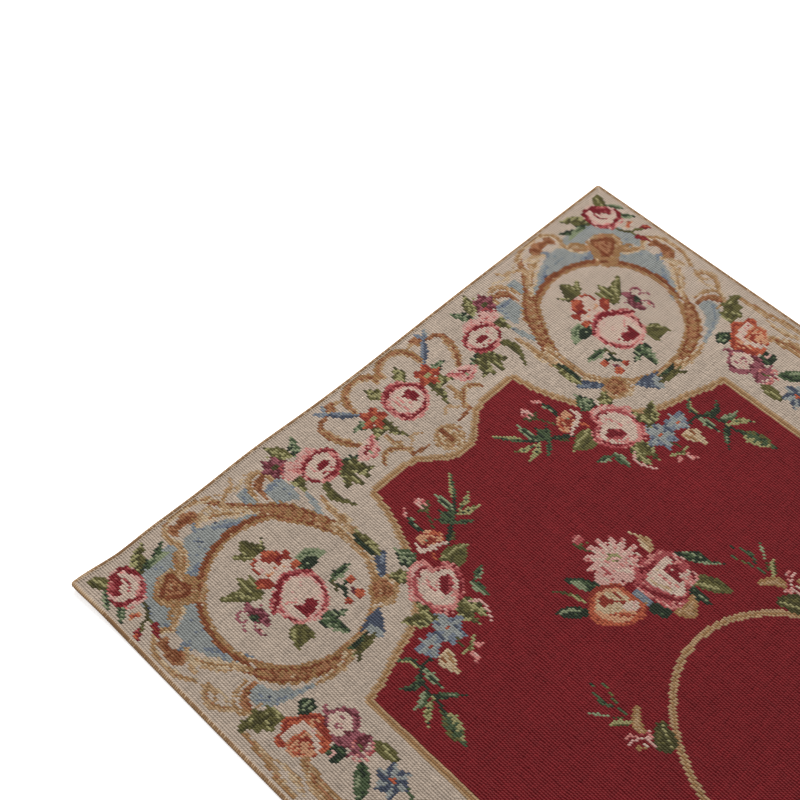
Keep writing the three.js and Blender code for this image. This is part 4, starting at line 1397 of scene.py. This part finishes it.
# The palmette that faces the corner, and the small one that faces the field
PALMETTE = (
    (0, "edge", ((29, 19), (26, 18.2), (22.4, 18.6), (19, 21.2), (16.2, 24.4), (16.4, 28.6), (18.4, 31.6),
                 (22, 33.6), (26, 35.6), (30.4, 36.4), (34, 33), (33, 28), (31.4, 24))),
    (0, "core", ((28.4, 20.6), (25.4, 19.6), (22.8, 21.6), (18.4, 24.2), (18.6, 27.2), (20.6, 28.8),
                 (23.6, 30.8), (27, 31.6), (29.6, 29.6), (28.4, 26), (28.2, 23))),
    (0, "fill", ((26.8, 22.2), (24.6, 22), (21.4, 24.4), (20.4, 26.4), (23.4, 28.8), (26.6, 29.2),
                 (27, 26))),
    (0.5, "core", ((25.4, 22.4), (24.6, 25.4), (24, 28))),
    (0.4, "core", ((22.8, 24.4), (22, 27))),
    (0.5, "light", ((17.2, 24.6), (17.4, 28.4), (20, 31.4))),
    (0.5, "light", ((27.6, 19.2), (24, 19), (21, 20.8))),
    (0.7, "core", ((32.4, 30.4), (30.4, 33.4))),
)
KNOB = (
    (0, "edge", ((85.1, 76.5), (81.7, 73.9), (77.7, 74.2), (74.1, 77.3), (73.9, 81.3), (76.8, 84.6),
                 (82.2, 84.2), (85.4, 80.8))),
    (0, "fill", ((83.4, 77.3), (80.3, 75.4), (76.8, 76.8), (75.3, 79.9), (78.2, 83), (82.5, 81.6))),
    (0.6, "core", ((82.5, 77.7), (79.9, 79.4), (76.5, 78.5))),
    (0.5, "core", ((82, 81.1), (79.4, 81.8), (77, 80.9))),
    (0.6, "edge", ((80.5, 76.8), (78.6, 78), (77.7, 80.3))),
    (0.5, "core", ((78.2, 75.6), (76, 77.7))),
    (0.5, "edge", ((83.7, 79.1), (81.3, 80.3))),
)
petals(scrolls, PALMETTE, {"edge": "gold", "fill": "chestnut", "core": "rust", "light": "tan"})
twin(scrolls, [(34, 15), (32.4, 17.4), (31, 20.4)], [0.6, 1.1, 1.0], [(1, "gold")])
petals(scrolls, KNOB, {"edge": "gold", "fill": "chestnut", "core": "brown"})
stroke(scrolls, [(83.4, 75.4), (84.6, 79), (82.6, 83)], [0.7, 1.2, 0.7], GOLD_RIM)
stroke(scrolls, [(74, 83.6), (78, 85), (83, 83.4)], [0.7, 1.1, 0.7], [(1, "tan")])

# Blue bows and green leaves at the ring's foot
patch(scrolls, [(91.5, 68), (88, 67), (84.6, 70), (82, 75.5), (85, 75), (88, 72)], "indigo")
stroke(scrolls, [(89.4, 68.6), (87, 71)], [0.6, 0.8], [(1, "blue")], teeth=0.4, tooth=1.6)
patch(scrolls, [(73, 83), (68, 83.4), (61, 86), (66, 88), (66, 93), (70, 89)], "indigo")
patch(scrolls, [(66, 87), (62.6, 86.6), (64, 92.6), (67, 92)], "sky")
leaf(scrolls, (88.5, 68), (89.4, 54), 2.6, OLIVE_LEAF, teeth=0.15)
stroke(scrolls, [(86.6, 66), (86.8, 60), (87.4, 55)], [1.0, 1.0, 0.6], [(1, "pine")])
leaf(scrolls, (64, 90.4), (52.5, 91), 2.2, ("olive", "sage", "moss"), teeth=0.15)
stroke(scrolls, [(62, 88), (57, 88.2), (53.6, 88.4)], [0.8, 1.0, 0.6], [(1, "pine")])
stroke(scrolls, [(56, 91.4), (52, 94.5)], [0.7, 0.6], [(1, "moss")])

# Small scrolls along the long side
stroke(scrolls, [(9, 62.5), (5, 65), (3.4, 69.5), (5.6, 74), (8.4, 77)], [0.6, 1.2, 1.3, 1.1, 0.7],
       GOLD_RIM)
stroke(scrolls, [(5.2, 84), (4.8, 92), (4, 100), (2.6, 107), (1.8, 115)], [0.8, 1.3, 1.5, 1.5, 1.0],
       [(0.1, "tan"), (1, "gold")])
stroke(scrolls, [(6.4, 101), (6.8, 109), (4.6, 117)], [0.6, 1.6, 0.8], [(0, "tan"), (1, "cream")])

# The cartouche round the middle of the short side
stroke(
    scrolls, [(144.4, 9.4), (143.4, 5.2), (137.5, 2.8), (131.8, 4), (128.2, 8), (127.4, 14.6)],
    [1.2, 1.8, 1.9, 1.9, 1.7, 1.0], [(-0.4, "tan"), (0.35, "chestnut"), (1, "gold")],
)
stroke(scrolls, [(126.5, 6), (122.5, 4.6), (120, 4.2)], [0.8, 1.3, 0.9], [(1, "tan")])
patch(scrolls, [(124, 4), (119.6, 3.4), (119.4, 7), (122.6, 8)], "chestnut")
stroke(scrolls, [(117.6, 7.8), (113.6, 9), (111, 12.4), (110.6, 17)], [1.0, 1.3, 1.3, 0.7],
       [(-0.1, "brown"), (1, "chestnut")])
stroke(
    scrolls, [(112, 12.4), (112.8, 18.5), (115.6, 24), (118.4, 28)], [1.2, 1.9, 1.8, 1.1],
    [(-0.3, "tan"), (0.3, "chestnut"), (1, "gold")],
)
stroke(scrolls, [(114.6, 22.4), (117, 26.6)], [0.8, 0.8], [(1, "brown")])
stroke(scrolls, [(127.2, 16.2), (122.6, 11.8), (118, 6.8)], [0.8, 1.9, 1.0],
       [(0, "indigo"), (1, "blue")], teeth=0.2)
stroke(scrolls, [(119.2, 3.4), (117.6, 6.8), (115.2, 4)], [0.8, 1.2, 0.8], [(1, "blue")])
stroke(scrolls, [(128.2, 31), (128, 35), (131, 38.5)], [0.8, 1.2, 0.7], GOLD_RIM)
stroke(scrolls, [(130.6, 42.6), (127.4, 38.6), (123.6, 36.6), (119.6, 38.6), (118, 41.6)],
       [1.2, 1.8, 1.5, 1.3, 0.8], [(-0.3, "tan"), (0.2, "brown"), (1, "gold")], teeth=0.3, tooth=2.6)
stroke(scrolls, [(133, 41), (136, 38), (139, 40)], [0.7, 0.9, 0.5], [(1, "tan")])
stroke(scrolls, [(130, 44.4), (133, 45.4), (137.4, 46)], [0.8, 0.9, 0.6], [(1, "brown")])

# The shell below the middle rose
SHELL = (
    (0, "edge", ((146, 42.7), (142.9, 43.5), (140.1, 46.7), (139.9, 50.7), (142.1, 54.2), (146, 55.8))),
    (0, "fill", ((146, 44.6), (143.2, 45.4), (141.5, 48.3), (142.1, 52), (146, 54.4))),
    (0.6, "line", ((144.8, 43.8), (142.4, 45.9), (141.6, 49.1), (143.2, 52.3), (146, 53.9))),
    (0.5, "edge", ((145.2, 52.3), (143.3, 50.4), (143.2, 47.5))),
    (0.6, "line", ((146, 52.6), (144.3, 51), (144, 48.3), (144.9, 46.2))),
    (0, "core", ((146, 43.8), (144.8, 44.3), (144.9, 47.5), (144.8, 50.2), (146, 50.7))),
    (0.4, "line", ((141, 44.6), (139.8, 47.5), (140.1, 50.7))),
)
petals(scrolls, SHELL, {"edge": "tan", "fill": "cream", "core": "brown", "line": "gold"})

# The long side takes the same cartouche, turned, and a scroll that leads to it
stroke(scrolls, [(14, 106.6), (12, 111), (10.4, 117), (10.4, 124), (13.4, 133)],
       [1.2, 2.4, 3.2, 2.6, 0.9],
       [(-0.6, "gold"), (-0.3, "tan"), (0.1, "chestnut"), (0.5, "gold"), (1, "tan")])
stroke(scrolls, [(6, 126), (3.4, 138), (6, 150), (12, 158), (15, 168), (11, 176)],
       [0.8, 1.3, 1.5, 1.6, 1.4, 0.8], GOLD_EDGE)
sprig(scrolls, [(31, 140), (28, 150), (29, 160), (25, 172)], 6, 1.6, 7, "green", LIGHT_LEAF)
CARTOUCHE_REACH = 37
turned = scrolls[HALF_ALONG - CARTOUCHE_REACH:, :CARTOUCHE_REACH]
short_scrolls = scrolls[:CARTOUCHE_REACH, HALF_ACROSS - CARTOUCHE_REACH:].T
turned[:] = np.where(short_scrolls != BLANK, short_scrolls, turned)
scroll_places = work(scrolls)
fleck(scroll_places, SCROLL_SHADES, seed=33)
sew_stitches("scroll_stitches", scroll_places, seed=5)


# Line round the field
# A line of gold and cream wool parts the ivory ground from the wine field. It runs straight
# along the middle of each side, curves round the medallions and lifts over each cartouche.

FIELD_LINE = [
    (57.6, 250), (56.4, 240.6), (53, 235.6), (49.4, 231), (46.4, 228), (44.6, 222), (44.4, 160),
    (44.4, 120), (44.4, 109), (44.7, 107.3), (46.6, 106.8), (52, 105.6), (62, 102), (77, 97),
    (88, 88), (96, 75.5), (99, 69.5), (101.8, 63), (103.8, 57), (105.3, 50), (105.8, 47.3),
    (107.2, 46.4), (112, 46.3), (121, 46.3), (128.5, 47), (131.5, 49.4), (136, 53),
    (141, 56.4), (150, 57.6),
]
LINE_BANDS = ((-0.3, "tan"), (0.3, "gold"), (1, "tan"))
field_line = blank_quarter()
stroke(field_line, FIELD_LINE, [1.5, 1.5], LINE_BANDS)
sew_stitches("field_line_stitches", work(field_line), seed=7)

# the ring of the middle oval
oval_ring = blank_quarter()
oval = ring_arc(MIDDLE, 51, 72, math.radians(-80), math.radians(-190), 25)
stroke(oval_ring, oval, [1.4, 1.4], LINE_BANDS)
sew_stitches("oval_ring_stitches", work(oval_ring), seed=8)


# Ivory ground
# The border is filled in last round its motifs, in one undyed wool of a warm grey ivory. It is
# worked in two stretches, from each short end to the middle of the rug.

rows_down, cols_over = np.mgrid[0:HALF_ALONG, 0:HALF_ACROSS] + 0.5
rows_down = rows_down + RIM_STITCHES
# the line, closed round the field well beyond this quarter
fence = np.vstack([smooth(FIELD_LINE), [(400, 58), (400, 400), (58, 400)]])
in_field = enclosed(cols_over, rows_down, fence)
ground = blank_quarter()
ground[~in_field] = NUMBER["ground"]
worked_ground = work(ground)
half_way = np.arange(ALONG)[:, None] < HALF_ALONG
sew_stitches("ground_stitches_far", worked_ground & half_way, seed=11)
sew_stitches("ground_stitches_near", worked_ground & ~half_way, seed=12)


# Wine field
# The middle of the rug is filled in wine red wool, in the same slanting stitch and also in two
# stretches. Small differences of dye show in it as soft clouds.

field = np.full(chart.shape, NUMBER["wine"])
worked_field = work(field)
sew_stitches("field_stitches_far", worked_field & half_way, seed=13)
sew_stitches("field_stitches_near", worked_field & ~half_way, seed=14)


# Rim
# The edge of the canvas is folded back and oversewn with golden brown wool, stitch beside
# stitch, to a firm round rim. Each side of the rug is one stretch of it, over its folded core.

RIM_WIDTH = 0.0052
RIM_HEIGHT = 0.0042
WRAP_PITCH = 0.0026
# The core's outline, and the line of a wrap from the floor up and over onto the cloth, both in
# shares of the rim's width and height
CORE = (
    (0.06, 0.08), (0.02, 0.6), (0.16, 0.86), (0.5, 0.93), (0.8, 0.82), (0.93, 0.5), (0.86, 0.12),
    (0.5, 0.04),
)
WRAP_LINE = ((0.97, 0.06), (1.0, 0.45), (0.9, 0.8), (0.62, 0.94), (0.26, 0.9), (-0.14, 0.7))
WRAP_LEAN = 0.5
WRAP_HALF = 0.54
WRAP_SUNK = 0.1
WRAP_SUNK_UP = 1.6
WRAP_UNEVENNESS = 0.04
CORE_CREST = 0.6
CORNER_FAN = math.radians(45)
# Colours along each wrap, darker towards its foot outside and lighter towards its end on the cloth
WRAP_COLOURS = (
    (122, 92, 64), (124, 94, 66), (146, 114, 82), (164, 134, 100), (176, 154, 130), (178, 160, 142),
)


def rim_stations(start, end, outward):
    """Places along one edge, each with the way out of the cloth, fanned round both corners."""
    start, end = np.array(start, float), np.array(end, float)
    reach = np.hypot(*(end - start))
    count = round(reach / WRAP_PITCH)
    bends = [share * CORNER_FAN for share in (0.32, 0.72)]
    places = [start] * 2 + [start + (end - start) * (k + 0.5) / count for k in range(count)] + [end] * 2
    sign = 1 if (end - start)[0] * math.sin(outward) - (end - start)[1] * math.cos(outward) < 0 else -1
    turns = [outward - sign * bend for bend in bends[::-1]] + [outward] * count
    turns += [outward + sign * bend for bend in bends]
    return np.array(places), np.array(turns)


wrap_points = []
wrap_crests = []
wrap_map = []
for k, (out, up) in enumerate(WRAP_LINE):
    lean = WRAP_LEAN * (out - 0.5)
    for side, sunk in ((-WRAP_HALF, WRAP_SUNK), (0, 0), (WRAP_HALF, WRAP_SUNK)):
        middle_out, middle_up = 0.5, 0.45
        wrap_points.append((
            out + (middle_out - out) * sunk,
            side + lean,
            up + (middle_up - up) * sunk * WRAP_SUNK_UP,
        ))
        # a wrap's sides, where it meets the next, take the rim wool's painted valley shade
        wrap_crests.append(1.0 if side == 0 else 0.0)
        wrap_map.append((k / (len(WRAP_LINE) - 1), side / (2 * WRAP_HALF) + 0.5))
wrap_faces = []
for k in range(len(WRAP_LINE) - 1):
    for side in (0, 1):
        a = 3 * k + side
        wrap_faces.append((a, a + 1, a + 4, a + 3))
rim_wrap = stitch_shape("rim_wrap", wrap_points, wrap_faces, wrap_crests)
rim_wool = wool_material("rim_wool", valley_painted_shade=0.55, fibre=1500, clouds=16)

HALF_WIDTH = CLOTH_WIDTH / 2
HALF_LENGTH = CLOTH_LENGTH / 2
RIM_SIDES = (
    ("rim_far_short", (-HALF_WIDTH, HALF_LENGTH), (HALF_WIDTH, HALF_LENGTH), math.pi / 2),
    ("rim_near_short", (HALF_WIDTH, -HALF_LENGTH), (-HALF_WIDTH, -HALF_LENGTH), -math.pi / 2),
    ("rim_left_long", (-HALF_WIDTH, -HALF_LENGTH), (-HALF_WIDTH, HALF_LENGTH), math.pi),
    ("rim_right_long", (HALF_WIDTH, HALF_LENGTH), (HALF_WIDTH, -HALF_LENGTH), 0),
)
for number, (node, start, end, outward) in enumerate(RIM_SIDES):
    places, turns = rim_stations(start, end, outward)
    spots = np.c_[places, np.zeros(len(places))]
    size = (RIM_WIDTH, WRAP_PITCH, RIM_HEIGHT)
    wraps = sew(
        node + "_wraps", rim_wrap, wrap_map, spots, [WRAP_COLOURS[0]] * len(spots), rim_wool, size,
        WRAP_UNEVENNESS, 21 + number, turns,
    )
    # each wrap is dark at its foot outside, and pale where it comes down on the cloth
    shades = np.tile(np.repeat(linear(WRAP_COLOURS), 3, axis=0), (len(spots), 1))
    wraps.data.attributes["yarn"].data.foreach_set("color", shades.astype(np.float32).ravel())
    # the folded core under the wraps
    steps = np.linspace(0, 1, 33)[1:-1]
    core_places = [np.array(start)] * 3 + [np.array(start) + (np.array(end) - start) * s for s in steps]
    core_places += [np.array(end)] * 3
    core_turns = [outward + CORNER_FAN, outward + CORNER_FAN / 2, outward] + [outward] * len(steps)
    core_turns += [outward, outward - CORNER_FAN / 2, outward - CORNER_FAN]
    core_points = []
    for place, turn in zip(core_places, core_turns):
        for out, up in CORE:
            reach = out * RIM_WIDTH
            core_points.append((
                place[0] + reach * math.cos(turn),
                place[1] + reach * math.sin(turn),
                up * RIM_HEIGHT,
            ))
    ring_size = len(CORE)
    core_faces = []
    for k in range(len(core_places) - 1):
        for side in range(ring_size):
            a, b = k * ring_size + side, k * ring_size + (side + 1) % ring_size
            core_faces.append((a, a + ring_size, b + ring_size, b))
    last = (len(core_places) - 1) * ring_size
    core_faces.append(tuple(range(ring_size)))
    core_faces.append(tuple(range(last + ring_size - 1, last - 1, -1)))
    core = new_piece(node + "_core", lay(core_points), core_faces, rim_wool)
    # the core stands partway down in the rim wool's painted valley shade, so it is darker
    set_values(core.data, "crest", np.full(len(core_points), CORE_CREST))
    set_values(core.data, "tone", np.ones(len(core_points)))
    set_values(core.data, "yarn", linear([WRAP_COLOURS[0]] * len(core_points)))
    core.data.shade_smooth()
    for piece in (wraps, core):
        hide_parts(node)
        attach(piece, "root")


# Back of the stitches
# Turned over, the rug shows the same design in the wools that cross behind the canvas. The
# sheet lies on the floor with all its stitches and its rim on it.

BACK_SHADE = (0.85, 0.85, 0.85, 1)
FRONT_PAINTED_SHADE = (0.6, 0.6, 0.6, 1)
back_yarns = chart.reshape(back_rows, BACK_CELL, back_cols, BACK_CELL)[:, 0, :, 0][:, ::-1]
back_colours = linear(yarn_colours[back_yarns.ravel()]) * BACK_SHADE
# the canvas front is real, but seen only in the gaps between stitches; its colour is the ground wool
# darkened as painted shade
front_shaded_colour = linear([YARNS["ground"]])[0] * FRONT_PAINTED_SHADE
face_sizes = [len(face) for face in canvas_faces]
face_colours = np.vstack([
    back_colours,
    np.tile(front_shaded_colour, (len(face_sizes) - len(back_colours), 1)),
])
set_values(canvas.data, "yarn", np.repeat(face_colours, face_sizes, axis=0), "CORNER")
for name in ("crest", "tone"):
    set_values(canvas.data, name, np.ones(len(canvas_points)))

# Where the back, the front and the edge lie in the flat map: a corner, and a width and height
BACK_AREA = ((0, 0), (0.58, 1))
FRONT_AREA = ((0.62, 0), (0.3, 0.5))
EDGE_AREA = ((0.62, 0.55), (0.36, 0.4))
EDGE_SHAPE = ((0.1, 0.1), (0.5, 0.1), (0.9, 0.1), (0.9, 0.9), (0.1, 0.9))


def in_area(shares, area):
    """Places of the flat map, from their shares of an area's width and height."""
    return np.array(area[0]) + np.array(area[1]) * shares


cloth_size = (CLOTH_WIDTH, CLOTH_LENGTH)
map_places = np.vstack([
    in_area(back_points / cloth_size + 0.5, BACK_AREA),
    in_area(front_points / cloth_size + 0.5, FRONT_AREA),
])[corner_points(canvas.data)]
edge_side = math.ceil(math.sqrt(len(edge_faces)))
edge_shares = []
for number, face in enumerate(edge_faces):
    column, row = number % edge_side, number // edge_side
    low_first = face[0] < front_start and face[2] < front_start
    for x, y in EDGE_SHAPE if low_first else EDGE_SHAPE[::-1]:
        edge_shares.append(((column + x) / edge_side, (row + y) / edge_side))
map_places[-len(edge_shares):] = in_area(edge_shares, EDGE_AREA)
set_map(canvas.data, map_places)
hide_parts("needlepoint_cloth")
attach(canvas, "root")
for shape in (tent_stitch, rim_wrap):
    bpy.data.objects.remove(shape)
